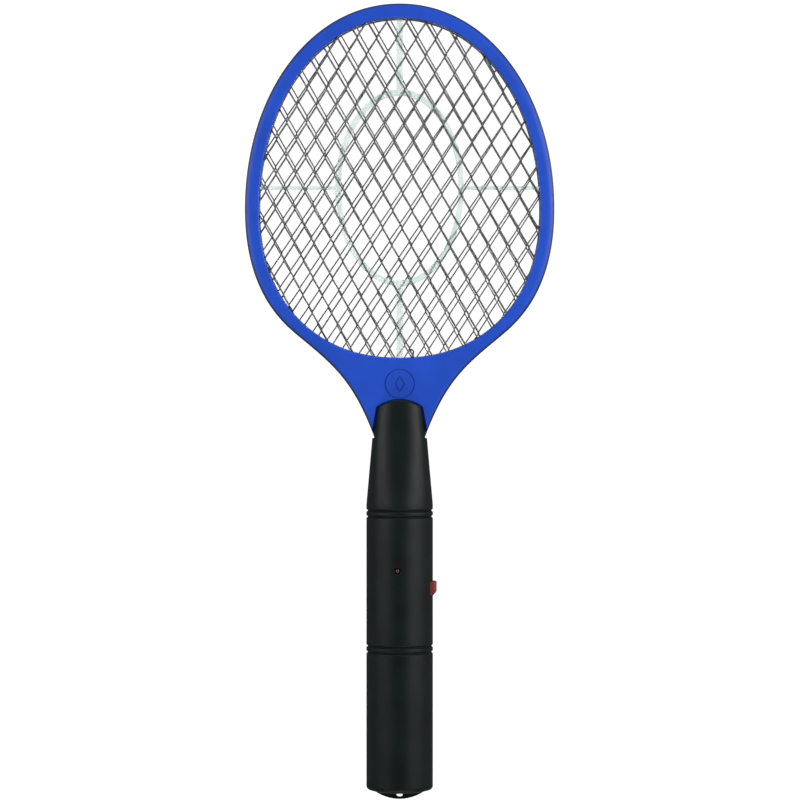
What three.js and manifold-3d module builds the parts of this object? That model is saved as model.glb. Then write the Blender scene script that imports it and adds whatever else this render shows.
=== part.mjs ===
// Electric fly swatter: a two-piece blue racket head that clamps three metal grids and two insulating
// spacers, and a two-piece black handle that holds a pair of AA cells, a step-up circuit, a push button
// on its side, an indicator lamp on its front and a sliding battery door on its back.
//
// Millimetres. The swatter lies on its back: +Y runs from the tail of the handle to the tip of the head,
// +X is to the right seen from the front, and +Z points out of the front. Everything is first placed with
// the handle's axis at x = 0, z = 0 and the tail at y = 0; the exported group moves that to its final frame,
// whose origin is under the middle of the swatter, on the surface that it lies on.
import * as THREE from "three";
import { mergeVertices } from "three/addons/utils/BufferGeometryUtils.js";
import Module from "manifold-3d";

const wasm = await Module();
wasm.setup();

// ---------------------------------------------------------------- driving dimensions
const GAP = 0.3; // clearance between neighbouring pieces
const PARTING = 0.15; // half of the gap between the front and the rear half of a casing

// Head
const openingHalfWidth = 78.6;
const openingUpper = 107.0; // from the widest line up to the top of the opening
const openingLower = 83.1; // from the widest line down to the bottom of the opening
const upperRoundness = 2.05; // 2 is an ellipse, and more is squarer
const lowerRoundness = 2.2;
const bandWidth = 8.1; // face width of the blue ring
const headHalfDepth = 6.5; // half of the head's thickness
const seatDepth = 0.5; // step in the throat's faces that the handle's tongues sit in
const pocketLap = 3.0; // how far the grids reach under the ring's lip
const throatLength = 44.7; // from the end of the closed neck to the bottom of the opening
const throatHalfWidth = 14.1; // where the throat meets the handle
const throatEase = { outer: [1.0, 0.6544], above: [0.7328, 0.5137], turn: [0.6, 0.4506],
  below: [0.3432, 0.3286], neck: [0.1698, 0.2625] }; // shares of the way from throat end to widest line
const tenonHalfWidth = 11.5;
const tenonLength = 20.4;
const channelHalfWidth = 5.0; // wire channel through the tenon
const channelHalfDepth = 3.6;
const chamberHalfWidth = 8.0; // wire chamber in the throat
const emblemRadius = 8.1; // plain ring sunk in the front of the throat
const emblemLine = 0.7;
const emblemDepth = 0.4;
const emblemRhomb = [2.6, 4.2]; // half width and half height of the rhombus inside it
const emblemAbove = 30.3; // from the end of the closed neck to the emblem's centre

// Grids and spacers
const gridThickness = 0.8;
const strandWidth = 0.7;
const strandPitch = 9.53; // across the strands of one direction
const strandLean = 29.6; // degrees between a strand and the grid's long way
const strandsSkipped = 2; // this model carries every second strand of the real grid
const frontTwist = -1.15; // degrees each grid is turned in the head
const centreTwist = -1.15;
const rearTwist = -2.45;
const frontKnot = [-5.0, 69.5]; // a crossing of strands, from x = 0 and the end of the closed neck
const centreKnot = [-5.2, 69.1];
const rearKnot = [-8.5, 70.1];
const gridFootHalfWidth = 13.0; // plain strip along the foot of each grid
const gridFootWidth = 2.2;
const lugHalfWidth = 1.8; // solder lug below that strip
const lugLength = 4.0;
const lugSpacing = 5.0;
const spacerThickness = 2.8;
const spacerRimWidth = 2.3;
const ovalHalfWidth = 34.5; // centre line of the spacer's inner oval
const ovalHalfHeight = 53.4;
const ovalRise = 12.3; // the oval's centre above the opening's widest line
const ovalBar = 3.0;
const uprightBar = 3.4;
const crossBar = 1.6;

// Handle
const wall = 2.0;
const cellRoom = 2.1; // between each cell and the inside of the barrel
const endRounding = 2.2;
const endDome = 1.0; // rise of the barrel's end
const endDomeRim = 4.0; // and how far inside its rounding it ends
const neckLength = 37.1; // closed part of the tapered neck
const neckHalfWidth = 15.35; // at its end
const neckHalfDepth = 13.8;
const neckRoundness = 2.6;
const tongueLength = 21.2; // the part of each shell that laps the throat
const tongueArch = 20.6; // radius of the tongue's end, seen from the front
const tongueWall = 2.5;
const grooveHalfWidth = 0.95;
const grooveDepth = 0.8;
const grooveSpacing = 3.4;
const lowerGrooveAbove = 77.2; // from the barrel's end to the first lower groove
const upperGrooveBelow = 6.8; // from the barrel's shoulder to the first upper groove
const tabDepth = 5.2; // hanging tab beyond the barrel's end
const tabRadius = 24.0;
const tabHalfThickness = 1.6;
const tabHoleWidth = 3.6;
const tabHoleHeight = 2.4;
const tabHoleEdge = 1.1; // from the tail to the hole
const endWall = 2.5;

// Battery bay
const cellRadius = 7.1;
const cellLength = 50.2;
const nubRadius = 2.6;
const nubLength = 1.0;
const cellSpacing = 0.7; // between the two cells
const cellDrop = 2.5; // the cells' axes lie this far behind the handle's axis
const trayFloor = 2.6;
const cradleEdge = 0.5; // height of the cradle's open edge
const trayWall = 2.5;
const trayBack = 13.0; // how far behind the axis the tray's end walls reach
const contactThickness = 0.5;
const contactHalfWidth = 4.5; // half the side of each contact's square plate
const tailSlotHalfWidth = 1.4; // half the width of the slots that the contacts' tails pass through
const springLength = 6.2;
const springWire = 0.4;
const springTurns = 3;
const traySpace = 4.8; // either side of the tray screw
const doorHalfWidth = 14.8;
const doorTongueLength = 1.6;
const doorTongueRoot = 1.8; // how far it laps the door
const doorTongueHalfWidth = 5.0;
const doorTongueThickness = 1.2;
const doorRailThickness = 1.0;
const doorRailLap = 2.2; // how far each rail reaches behind the shell
const doorRailRoot = 2.4; // and how far along the back of the door

// Circuit
const boardHalfWidth = 11.0;
const boardLength = 59.0;
const boardThickness = 1.6;
const boardFront = -3.3; // height of the board's component side
const boardInset = 6.5; // from the tray to the board
const seating = 0.2; // gap under each component
const buttonAlong = 30.15; // from the board's lower edge
const lampAlong = 40.5;
const lampSide = -1.2; // from the middle of the board
const buttonHeight = 7.5;
const buttonDepth = 14.6; // across the seam between the shells
const buttonProud = 2.1; // beyond the barrel
const buttonTravel = 1.2;
const buttonRamp = 2.0;
const flangeOver = 1.3; // how far the button's flange reaches behind the shell
const flangeThickness = 1.2;
const switchSize = 6.0;
const switchStart = 4.4; // from the middle of the board to the switch
const plungerRadius = 1.7;
const plungerProud = 2.3; // beyond the switch
const plungerSunk = 0.6; // inside its bore
const lampRadius = 1.5;
const lampFlange = 1.9;
const lampRecess = 0.25;
const leadRadius = 0.6;

// Fasteners
const screwHeadRadius = 1.9;
const screwHeadHeight = 1.3;
const screwRadius = 0.9;
const screwClearance = 0.35;
const bossRadius = 2.5;
const headScrewLength = 9.0;
const headScrewAngles = [-62, -30, 20, 62, 118, 160, 210, 242]; // round the opening's centre, in degrees
const neckScrewOffset = 8.3;
const neckScrewBelow = 10.1; // from the end of the closed neck
const midScrewOffset = 13.0;
const midScrewSpace = 5.0; // above the board
const barrelAboveScrews = 13.0;
const neckScrewSeat = 10.0; // how far behind the axis each screw's head sits
const midScrewSeat = 8.0;

// ---------------------------------------------------------------- places across and along the swatter
const cellOffset = cellRadius + cellSpacing / 2;
const innerRadius = cellOffset + cellRadius + cellRoom;
const barrelRadius = innerRadius + wall;
const barrelStart = tabDepth;
const trayScrewY = barrelStart + endWall + traySpace + 0.7;
const trayStart = barrelStart + endWall + 1.5;
const bayStart = trayScrewY + traySpace + trayWall;
const bayLength = cellLength + springLength + contactThickness * 2 + 1.1;
const bayEnd = bayStart + bayLength;
const trayEnd = bayEnd + trayWall;
const boardStart = trayEnd + boardInset;
const boardEnd = boardStart + boardLength;
const midScrewY = boardEnd + midScrewSpace;
const barrelEnd = midScrewY + barrelAboveScrews;
const neckEnd = barrelEnd + neckLength;
const tongueEnd = neckEnd + tongueLength;
const neckScrewY = neckEnd - neckScrewBelow;
const throatEnd = neckEnd + GAP;
const openingCentre = neckEnd + throatLength + openingLower;
const totalLength = openingCentre + openingUpper + bandWidth;
const headHalfWidth = openingHalfWidth + bandWidth - 0.2;
const buttonY = boardStart + buttonAlong;
const lampY = boardStart + lampAlong;
const switchFace = switchStart + switchSize;
const doorEnd = trayEnd - trayWall;
const headScrewSeat = -headHalfDepth + screwHeadHeight + 0.4;

// Heights of the stack in the head: centre grid, spacers, guard grids, lips.
const spacerBase = gridThickness / 2 + 0.2;
const guardBase = spacerBase + spacerThickness + 0.2;
const lipBase = guardBase + gridThickness + 0.2;

// ---------------------------------------------------------------- materials
const plastic = (color, roughness) => new THREE.MeshStandardMaterial({ color, roughness, metalness: 0 });
const metal = (color, roughness) => new THREE.MeshStandardMaterial({ color, roughness, metalness: 1 });
const finishes = {
  blue: plastic("#2145b4", 0.5),
  black: plastic("#1b1f1f", 0.6),
  red: plastic("#b3211d", 0.35),
  clear: plastic("#dfe6e3", 0.3),
  board: plastic("#2f6b3c", 0.5),
  component: plastic("#2a2a2c", 0.5),
  film: plastic("#7c2a1e", 0.4),
  resistor: plastic("#c9b182", 0.5),
  cell: plastic("#3c4a44", 0.35),
  redWire: plastic("#a01c18", 0.5),
  blackWire: plastic("#161616", 0.5),
  whiteWire: plastic("#dcdcd6", 0.5),
  strand: metal("#6e7476", 0.4),
  steel: metal("#a9adb0", 0.35),
  core: metal("#34363a", 0.6),
};

// ---------------------------------------------------------------- solids
// A closed geometry as a manifold-3d solid.
function solid(geometry) {
  const bare = geometry.index ? geometry.toNonIndexed() : geometry;
  const positions = new THREE.BufferGeometry().setAttribute("position", bare.getAttribute("position"));
  const merged = mergeVertices(positions, 1e-4);
  return new wasm.Manifold(new wasm.Mesh({
    numProp: 3,
    vertProperties: merged.attributes.position.array,
    triVerts: new Uint32Array(merged.index.array),
  }));
}

// A named piece of the swatter, made from a solid.
function piece(name, finish, made) {
  const mesh = made.getMesh();
  const geometry = new THREE.BufferGeometry();
  geometry.setAttribute("position", new THREE.BufferAttribute(mesh.vertProperties, 3));
  geometry.setIndex(new THREE.BufferAttribute(mesh.triVerts, 1));
  geometry.computeVertexNormals();
  const result = new THREE.Mesh(geometry, finishes[finish]);
  result.name = name;
  return result;
}

// A box between two corners.
function box(x0, x1, y0, y1, z0, z1) {
  const geometry = new THREE.BoxGeometry(x1 - x0, y1 - y0, z1 - z0);
  return solid(geometry.translate((x0 + x1) / 2, (y0 + y1) / 2, (z0 + z1) / 2));
}

// An upright round bar, from z0 to z1.
function post(x, y, radius, z0, z1, sides = 12) {
  const geometry = new THREE.CylinderGeometry(radius, radius, z1 - z0, sides);
  return solid(geometry.rotateX(Math.PI / 2).translate(x, y, (z0 + z1) / 2));
}

// A round bar along the handle, from y0 to y1.
function rod(x, z, radius, y0, y1, sides = 20) {
  const geometry = new THREE.CylinderGeometry(radius, radius, y1 - y0, sides);
  return solid(geometry.translate(x, (y0 + y1) / 2, z));
}

// A flat outline in the XY plane, thickened from z0 to z1.
function slab(points, z0, z1, holes = []) {
  const shape = new THREE.Shape(points);
  shape.holes = holes.map((hole) => new THREE.Path(hole));
  const geometry = new THREE.ExtrudeGeometry(shape, { depth: z1 - z0, bevelEnabled: false });
  return solid(geometry.translate(0, 0, z0));
}

// A round wire along a smooth line through the points.
function wire(points, radius, sides, steps) {
  const section = new THREE.Shape(ring(sides, (t) => [radius * Math.cos(t), radius * Math.sin(t)]));
  const curve = points instanceof THREE.Curve ? points : new THREE.CatmullRomCurve3(
    points.map((p) => new THREE.Vector3(...p)));
  return solid(new THREE.ExtrudeGeometry(section, { extrudePath: curve, steps, bevelEnabled: false }));
}

// Points once round a closed outline, as Vector2.
function ring(count, at) {
  return Array.from({ length: count }, (_, i) => new THREE.Vector2(...at((i / count) * 2 * Math.PI)));
}


// The point of a superellipse at an angle that runs evenly round it.
function superellipse(t, halfX, halfY, roundness) {
  const c = Math.cos(t);
  const s = Math.sin(t);
  const power = 2 / roundness;
  return [halfX * Math.sign(c) * Math.abs(c) ** power, halfY * Math.sign(s) * Math.abs(s) ** power];
}

// ---------------------------------------------------------------- outlines of the head
const OPENING_STEPS = 64;
const POCKET_STEPS = 44;
const OVAL_STEPS = 36;

// The opening, grown outwards by a distance.
function openingOutline(grow, steps = OPENING_STEPS) {
  return ring(steps, (t) => {
    const upper = Math.sin(t) >= 0;
    const height = (upper ? openingUpper : openingLower) + grow;
    const roundness = upper ? upperRoundness : lowerRoundness;
    const [x, y] = superellipse(t, openingHalfWidth + grow, height, roundness);
    return [x, openingCentre + y];
  });
}

// The same line, coarser, for what lies hidden in the ring's pocket.
const pocketOutline = (grow) => openingOutline(grow, POCKET_STEPS);

// The head's outside from the throat's right end round the top to its left end.
function headOutline() {
  const corner = (name) => new THREE.Vector2(
    throatHalfWidth + throatEase[name][0] * (headHalfWidth - throatHalfWidth),
    throatEnd + throatEase[name][1] * (openingCentre - throatEnd));
  const start = new THREE.Vector2(throatHalfWidth, throatEnd);
  const widest = new THREE.Vector2(headHalfWidth, openingCentre);
  const flare = new THREE.CubicBezierCurve(start, corner("neck"), corner("below"), corner("turn"));
  const flank = new THREE.CubicBezierCurve(corner("turn"), corner("above"), corner("outer"), widest);
  const side = [...flare.getPoints(12), ...flank.getPoints(9).slice(1)];
  const dome = Array.from({ length: 31 }, (_, i) => {
    const [x, y] = superellipse(((i + 1) / 32) * Math.PI, headHalfWidth, openingUpper + bandWidth,
      upperRoundness);
    return new THREE.Vector2(x, openingCentre + y);
  });
  const mirrored = side.map((p) => new THREE.Vector2(-p.x, p.y)).reverse();
  return [...side, ...dome, ...mirrored];
}

// How far an outline is from the opening's centre, in one direction.
function reach(outline, angle) {
  const dir = new THREE.Vector2(Math.cos(angle), Math.sin(angle));
  const far = outline.map((p, i) => {
    const q = outline[(i + 1) % outline.length];
    const a = new THREE.Vector2(p.x, p.y - openingCentre);
    const edge = new THREE.Vector2(q.x - p.x, q.y - p.y);
    const across = dir.cross(edge);
    const along = a.cross(edge) / across;
    const share = a.cross(dir) / across;
    return share >= 0 && share <= 1 && along > 0 ? along : 0;
  });
  return Math.max(...far);
}

// Where each head screw goes: in the middle of the band outside the grids, or near its inner edge where
// the throat makes it wide.
function headScrewPlaces() {
  const outer = headOutline();
  const pocket = pocketOutline(pocketLap);
  return headScrewAngles.map((degrees) => {
    const angle = THREE.MathUtils.degToRad(degrees);
    const inner = reach(pocket, angle);
    const width = Math.min(reach(outer, angle) - inner, 2 * bossRadius + 2);
    const far = inner + width / 2;
    return [far * Math.cos(angle), openingCentre + far * Math.sin(angle)];
  });
}

// ---------------------------------------------------------------- outside of the handle
// Half width, half depth and roundness of the handle at a place along it, less a skin.
function handleSection(y, skin) {
  const neck = Math.max(0, (y - barrelEnd) / neckLength);
  return {
    halfX: THREE.MathUtils.lerp(barrelRadius, neckHalfWidth, neck) - skin,
    halfZ: THREE.MathUtils.lerp(barrelRadius, neckHalfDepth, neck) - skin,
    roundness: THREE.MathUtils.lerp(2, neckRoundness, Math.min(1, neck)),
  };
}

// A closed body through sections at places along the handle. Each stop is [place, skin].
function handleBody(stops, sides = 32) {
  const positions = [];
  const loops = stops.map(([y, skin]) => {
    const { halfX, halfZ, roundness } = handleSection(y, skin);
    return ring(sides, (t) => superellipse(t, halfX, halfZ, roundness)).map((p) => [p.x, y, p.y]);
  });
  const face = (a, b, c) => positions.push(...a, ...b, ...c);
  for (let k = 0; k + 1 < loops.length; k += 1) {
    for (let i = 0; i < sides; i += 1) {
      const j = (i + 1) % sides;
      face(loops[k][i], loops[k + 1][j], loops[k][j]);
      face(loops[k][i], loops[k + 1][i], loops[k + 1][j]);
    }
  }
  const first = loops[0];
  const last = loops[loops.length - 1];
  for (let i = 1; i + 1 < sides; i += 1) {
    face(first[0], first[i], first[i + 1]);
    face(last[0], last[i + 1], last[i]);
  }
  const geometry = new THREE.BufferGeometry();
  return solid(geometry.setAttribute("position", new THREE.Float32BufferAttribute(positions, 3)));
}

const neckStops = (end) => [barrelEnd, barrelEnd + neckLength / 2, neckEnd, end];

// The handle's outside, with its rounded tail and its two pairs of grooves.
function handleOutside() {
  const grooves = [barrelStart + lowerGrooveAbove, barrelStart + lowerGrooveAbove + grooveSpacing,
    barrelEnd - upperGrooveBelow, barrelEnd - upperGrooveBelow + grooveSpacing];
  const stops = [
    [barrelStart - endDome, endRounding + endDomeRim], [barrelStart, endRounding],
    [barrelStart + endRounding * 0.3, endRounding * 0.3], [barrelStart + endRounding, 0],
    ...grooves.flatMap((y) => [[y - grooveHalfWidth, 0], [y, grooveDepth], [y + grooveHalfWidth, 0]]),
    ...neckStops(tongueEnd + 1).map((y) => [y, 0]),
  ];
  return handleBody(stops);
}

// The room inside the handle.
const handleRoom = () => handleBody([[barrelStart + endWall, wall],
  ...neckStops(tongueEnd - tongueWall - 1).map((y) => [y, wall])]);

// The handle's outside less half of its wall, which everything moulded inside it is trimmed to.
const handleCore = () => handleBody([[barrelStart + endWall / 2, wall / 2],
  ...neckStops(tongueEnd - tongueWall).map((y) => [y, wall / 2])]);

// Seen from the front, the handle's extent: straight sides and an arched end over the throat.
function handlePlan(grow) {
  const side = barrelRadius + 5;
  const centre = tongueEnd - tongueArch;
  const half = Math.min(tongueArch, neckHalfWidth + 2);
  const start = Math.acos(half / tongueArch);
  const arch = Array.from({ length: 17 }, (_, i) => {
    const t = start + ((Math.PI - 2 * start) * i) / 16;
    const r = tongueArch + grow;
    return new THREE.Vector2(r * Math.cos(t), centre + r * Math.sin(t));
  });
  return [new THREE.Vector2(-side, -5), new THREE.Vector2(side, -5),
    new THREE.Vector2(side, neckEnd - 2), ...arch, new THREE.Vector2(-side, neckEnd - 2)];
}

// The space that the two tongues fill over the throat, with clearance.
function tongueSpace() {
  const body = handleBody([[neckEnd - 1, -GAP], [tongueEnd + 1, -GAP]]);
  return body.intersect(slab(handlePlan(GAP), -50, 50));
}

// ---------------------------------------------------------------- head
// One half of the racket head. front is +1 for the half with the emblem and -1 for the back half.
function headFrame(front) {
  const span = (from, to) => (front > 0 ? [from, to] : [-to, -from]);
  const tenon = [new THREE.Vector2(-tenonHalfWidth, throatEnd),
    new THREE.Vector2(-tenonHalfWidth, throatEnd - tenonLength),
    new THREE.Vector2(tenonHalfWidth, throatEnd - tenonLength),
    new THREE.Vector2(tenonHalfWidth, throatEnd)];
  const outline = [...headOutline(), ...tenon];
  const chamberEnd = openingCentre - openingLower;
  let made = slab(outline, ...span(PARTING, headHalfDepth), [openingOutline(0).reverse()]);
  made = made.subtract(slab(pocketOutline(pocketLap), ...span(-1, lipBase)));
  made = made.subtract(box(-chamberHalfWidth, chamberHalfWidth, throatEnd + 3, chamberEnd,
    ...span(-1, lipBase)));
  made = made.subtract(box(-channelHalfWidth, channelHalfWidth, throatEnd - tenonLength - 1, throatEnd + 4,
    ...span(-1, channelHalfDepth)));
  const seat = span(headHalfDepth - seatDepth, headHalfDepth + 1);
  made = made.subtract(tongueSpace().intersect(box(-50, 50, 0, totalLength, ...seat)));
  made = made.subtract(box(-20, 20, 0, throatEnd, ...seat));
  for (const side of [-1, 1]) {
    made = made.subtract(post(side * neckScrewOffset, neckScrewY, screwRadius + screwClearance, -50, 50));
  }
  for (const [x, y] of headScrewPlaces()) {
    if (front > 0) {
      const tip = headScrewSeat + headScrewLength + 0.3;
      made = made.subtract(post(x, y, screwRadius + screwClearance, -1, tip, 10));
    } else {
      made = made.subtract(post(x, y, screwRadius + screwClearance, -50, 1, 10));
      made = made.subtract(post(x, y, screwHeadRadius + screwClearance, -50, headScrewSeat + 0.1, 10));
    }
  }
  return made;
}

// The plain ring and the rhombus sunk in the front of the throat.
function emblem() {
  const y = neckEnd + emblemAbove;
  const circle = (radius) => ring(28, (t) => [radius * Math.cos(t), y + radius * Math.sin(t)]);
  const [across, up] = emblemRhomb;
  const rhomb = (grow) => ring(4, (t) => [(across + grow) * Math.cos(t), y + (up + grow) * Math.sin(t)]);
  const z = [headHalfDepth - emblemDepth, headHalfDepth + 1];
  return slab(circle(emblemRadius + emblemLine / 2), ...z, [circle(emblemRadius - emblemLine / 2).reverse()])
    .add(slab(rhomb(emblemLine / 2), ...z, [rhomb(-emblemLine / 2).reverse()]));
}

// A grid of crossing strands, from base upwards, with a plain strip and a solder lug at its foot.
function grid(base, twist, knot, lugX) {
  const top = base + gridThickness;
  const outer = pocketOutline(pocketLap - 0.4);
  const centre = new THREE.Vector2(knot[0], neckEnd + knot[1]);
  const length = 3 * (openingUpper + openingLower);
  const step = strandPitch * strandsSkipped;
  const count = Math.ceil((openingUpper + openingLower) / step) + 2;
  const strands = [];
  for (const lean of [-strandLean, strandLean]) {
    const turn = THREE.MathUtils.degToRad(lean + twist);
    for (let i = -count; i <= count; i += 1) {
      const bar = new THREE.BoxGeometry(strandWidth, length, gridThickness).translate(i * step, 0, 0);
      bar.rotateZ(turn).translate(centre.x, centre.y, (base + top) / 2);
      strands.push(solid(bar));
    }
  }
  const foot = openingCentre - openingLower - pocketLap + 0.4;
  const strip = box(-gridFootHalfWidth, gridFootHalfWidth, foot - 1, foot + gridFootWidth, base, top);
  const lug = box(lugX - lugHalfWidth, lugX + lugHalfWidth, foot - lugLength, foot + gridFootWidth,
    base, top);
  const field = wasm.Manifold.union([...strands, strip]).intersect(slab(outer, base - 1, top + 1));
  const bodies = field.add(lug).decompose();
  return bodies.reduce((most, body) => (body.volume() > most.volume() ? body : most));
}

// The insulating spacer between two grids: a rim, an inner oval and the bars that hold it.
function spacer(base) {
  const top = base + spacerThickness;
  const centre = openingCentre + ovalRise;
  const oval = (grow) => ring(OVAL_STEPS, (t) => [(ovalHalfWidth + grow) * Math.cos(t),
    centre + (ovalHalfHeight + grow) * Math.sin(t)]);
  const outer = pocketOutline(pocketLap - 0.4);
  const rim = slab(outer, base, top, [pocketOutline(pocketLap - 0.4 - spacerRimWidth).reverse()]);
  const inside = slab(outer, base - 1, top + 1);
  const bars = box(-uprightBar / 2, uprightBar / 2, 0, totalLength, base, top)
    .add(box(-headHalfWidth, headHalfWidth, centre - crossBar / 2, centre + crossBar / 2, base, top))
    .intersect(inside)
    .subtract(slab(oval(0), base - 1, top + 1));
  return rim.add(bars).add(slab(oval(ovalBar / 2), base, top, [oval(-ovalBar / 2).reverse()]));
}

// ---------------------------------------------------------------- handle
// Everything moulded inside one shell of the handle.
function shellInside(front) {
  const span = (from, to) => (front > 0 ? [from, to] : [-to, -from]);
  const bosses = [-1, 1].flatMap((side) => [
    post(side * neckScrewOffset, neckScrewY, bossRadius, ...span(headHalfDepth - seatDepth + GAP, 40), 16),
    post(side * midScrewOffset, midScrewY, bossRadius, ...span(PARTING, 40), 16),
  ]);
  if (front > 0) {
    bosses.push(post(0, trayScrewY, bossRadius, cellRadius + trayFloor - cellDrop + GAP, 40, 16));
    for (const [x, y] of [[-1, boardStart + 2], [1, boardStart + 2], [-1, boardEnd - 2], [1, boardEnd - 2]]) {
      const edge = x * (boardHalfWidth - 0.8);
      bosses.push(box(edge - 0.8, edge + 0.8, y - 1, y + 1, boardFront + seating, 40));
    }
  } else {
    for (const y of [boardStart + 4, boardEnd - 4]) {
      bosses.push(box(-boardHalfWidth, boardHalfWidth, y - 0.6, y + 0.6, -40,
        boardFront - boardThickness - seating));
    }
  }
  return wasm.Manifold.union(bosses).intersect(handleCore());
}

// Screw holes of one shell: blind ones in the front shell, and through holes with sunk seats in the rear.
function shellHoles(front) {
  const holes = [];
  for (const side of [-1, 1]) {
    for (const [x, y, seat] of [[side * neckScrewOffset, neckScrewY, neckScrewSeat],
      [side * midScrewOffset, midScrewY, midScrewSeat]]) {
      const depth = front > 0 ? [-1, seat + 1] : [-40, 1];
      holes.push(post(x, y, screwRadius + screwClearance, ...depth, 10));
      if (front < 0) {
        holes.push(post(x, y, screwHeadRadius + screwClearance, -40, -seat + 0.1, 12));
      }
    }
  }
  if (front > 0) {
    holes.push(post(0, trayScrewY, screwRadius + screwClearance, -1, innerRadius - 1.5, 10));
  }
  return wasm.Manifold.union(holes);
}

// Half of the flat tab with the hanging hole, at the tail.
function tab(front) {
  const outline = ring(48, (t) => [tabRadius * Math.cos(t), tabRadius + tabRadius * Math.sin(t)]);
  const z = front > 0 ? [PARTING, tabHalfThickness] : [-tabHalfThickness, -PARTING];
  const length = barrelStart + endWall / 2;
  const body = slab(outline, ...z).intersect(box(-tabRadius, tabRadius, -1, length, -9, 9));
  const holeY = tabHoleEdge + tabHoleHeight / 2;
  const hole = ring(16, (t) => [(tabHoleWidth / 2) * Math.cos(t), holeY + (tabHoleHeight / 2) * Math.sin(t)]);
  return body.subtract(slab(hole, -9, 9));
}

// The space that the button needs through both shells.
const buttonHole = () => box(0, barrelRadius + 5, buttonY - buttonHeight / 2 - GAP,
  buttonY + buttonHeight / 2 + GAP, -buttonDepth / 2 - GAP, buttonDepth / 2 + GAP);

// The inside edge of the battery door, which its sides meet.
const doorFloor = Math.sqrt(innerRadius ** 2 - doorHalfWidth ** 2);

// The rails inside the door's two edges, which run behind the shell's edges; grown by a distance.
function doorRails(grow) {
  const outer = rod(0, 0, innerRadius - GAP + grow, 0, doorEnd + grow, 32);
  const inner = rod(0, 0, innerRadius - GAP - doorRailThickness - grow, -9, totalLength, 32);
  const band = box(-50, 50, -1, totalLength,
    -doorFloor - doorRailRoot - grow, -doorFloor + doorRailLap + grow);
  return outer.subtract(inner).intersect(band);
}

// One shell of the handle.
function handleShell(front) {
  const half = front > 0 ? [PARTING, 50] : [-50, -PARTING];
  const fork = headHalfDepth - seatDepth + 0.2;
  let made = handleOutside().intersect(slab(handlePlan(0), -50, 50)).subtract(handleRoom());
  made = made.add(shellInside(front));
  made = made.intersect(box(-50, 50, -5, totalLength, ...half));
  made = made.subtract(box(-50, 50, neckEnd, totalLength, -fork, fork));
  made = made.add(tab(front)).subtract(shellHoles(front)).subtract(buttonHole());
  if (front > 0) {
    return made.subtract(post(lampSide, lampY, lampRadius + 0.2, 0, 40, 16));
  }
  const doorway = box(-doorHalfWidth - GAP, doorHalfWidth + GAP, 0, doorEnd + GAP, -50, -doorFloor + GAP);
  return made.subtract(doorway.subtract(rod(0, 0, innerRadius - GAP, -9, doorEnd + 9, 32)))
    .subtract(doorRails(GAP).intersect(box(-50, 50, 0, barrelStart + endWall + GAP, -50, 0)));
}

// The battery door: a curved plate that slides off over the tail, with a rail along each edge and a tongue
// that goes under the shell.
function batteryDoor() {
  const plate = handleOutside()
    .intersect(box(-doorHalfWidth, doorHalfWidth, barrelStart, doorEnd, -50, -doorFloor))
    .subtract(rod(0, 0, innerRadius, -9, doorEnd + 9, 32));
  const tongue = box(-doorTongueHalfWidth, doorTongueHalfWidth, doorEnd - doorTongueRoot,
    doorEnd + doorTongueLength, -innerRadius - 0.3, -innerRadius + doorTongueThickness)
    .intersect(rod(0, 0, innerRadius - GAP, 0, totalLength, 32));
  const root = box(-doorTongueHalfWidth, doorTongueHalfWidth, doorEnd - doorTongueRoot, doorEnd,
    -innerRadius - 0.6, -innerRadius + doorTongueThickness);
  const rails = doorRails(0).intersect(box(-50, 50, barrelStart + GAP, doorEnd, -50, 0));
  const seam = rod(0, 0, innerRadius + 0.1, barrelStart + GAP, doorEnd, 32)
    .subtract(rod(0, 0, innerRadius - GAP - 0.1, -9, totalLength, 32))
    .intersect(box(-50, 50, 0, totalLength, -doorFloor - doorRailRoot, -doorFloor - GAP));
  return plate.add(tongue).add(root).add(rails).add(seam);
}

// ---------------------------------------------------------------- battery bay
// The cradle that the cells lie in, with an end wall at each end and a foot for its screw.
function batteryTray() {
  const disc = (y0, y1) => rod(0, 0, innerRadius - GAP, y0, y1, 32);
  const top = cellRadius + trayFloor - cellDrop;
  const cradle = disc(bayStart - 1, bayEnd + 1).intersect(box(-50, 50, 0, totalLength, cradleEdge, top));
  const walls = disc(bayStart - trayWall, bayStart).add(disc(bayEnd, trayEnd))
    .intersect(box(-50, 50, 0, totalLength, -trayBack, top))
    .subtract(doorRails(GAP));
  const foot = disc(trayStart, bayStart - 1).intersect(box(-7, 7, 0, totalLength, top - 4, top));
  const sides = [-cellOffset, cellOffset];
  const cells = sides.map((x) => rod(x, -cellDrop, cellRadius + GAP, bayStart, bayEnd, 24));
  const slots = sides.map((x) => box(x - tailSlotHalfWidth, x + tailSlotHalfWidth, bayEnd - 1,
    trayEnd + 1, -cellDrop - 0.7, -cellDrop + 0.7));
  return cradle.subtract(wasm.Manifold.union(cells)).add(walls).subtract(wasm.Manifold.union(slots)).add(foot)
    .subtract(post(0, trayScrewY, screwRadius + screwClearance, -9, 40, 10));
}

// A cell: nubUp is true where its positive end faces the head.
function cell(side, nubUp) {
  const room = contactThickness + GAP;
  const base = nubUp ? bayEnd - room - cellLength : bayStart + room + nubLength;
  const body = rod(side * cellOffset, -cellDrop, cellRadius, base, base + cellLength - nubLength, 24);
  const nub = nubUp ? [base + cellLength - nubLength - 0.1, base + cellLength]
    : [base - nubLength, base + 0.1];
  return body.add(rod(side * cellOffset, -cellDrop, nubRadius, ...nub, 14));
}

// The flat contact that touches the left cell's nub, with a tail through the tray's wall.
function flatContact() {
  const x = -cellOffset;
  return box(x - contactHalfWidth, x + contactHalfWidth, bayEnd - contactThickness - 0.1, bayEnd - 0.1,
    -cellDrop - contactHalfWidth, -cellDrop + contactHalfWidth)
    .add(box(x - 1, x + 1, bayEnd - 0.3, trayEnd + 1.5, -cellDrop - 0.25, -cellDrop + 0.25));
}

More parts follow.
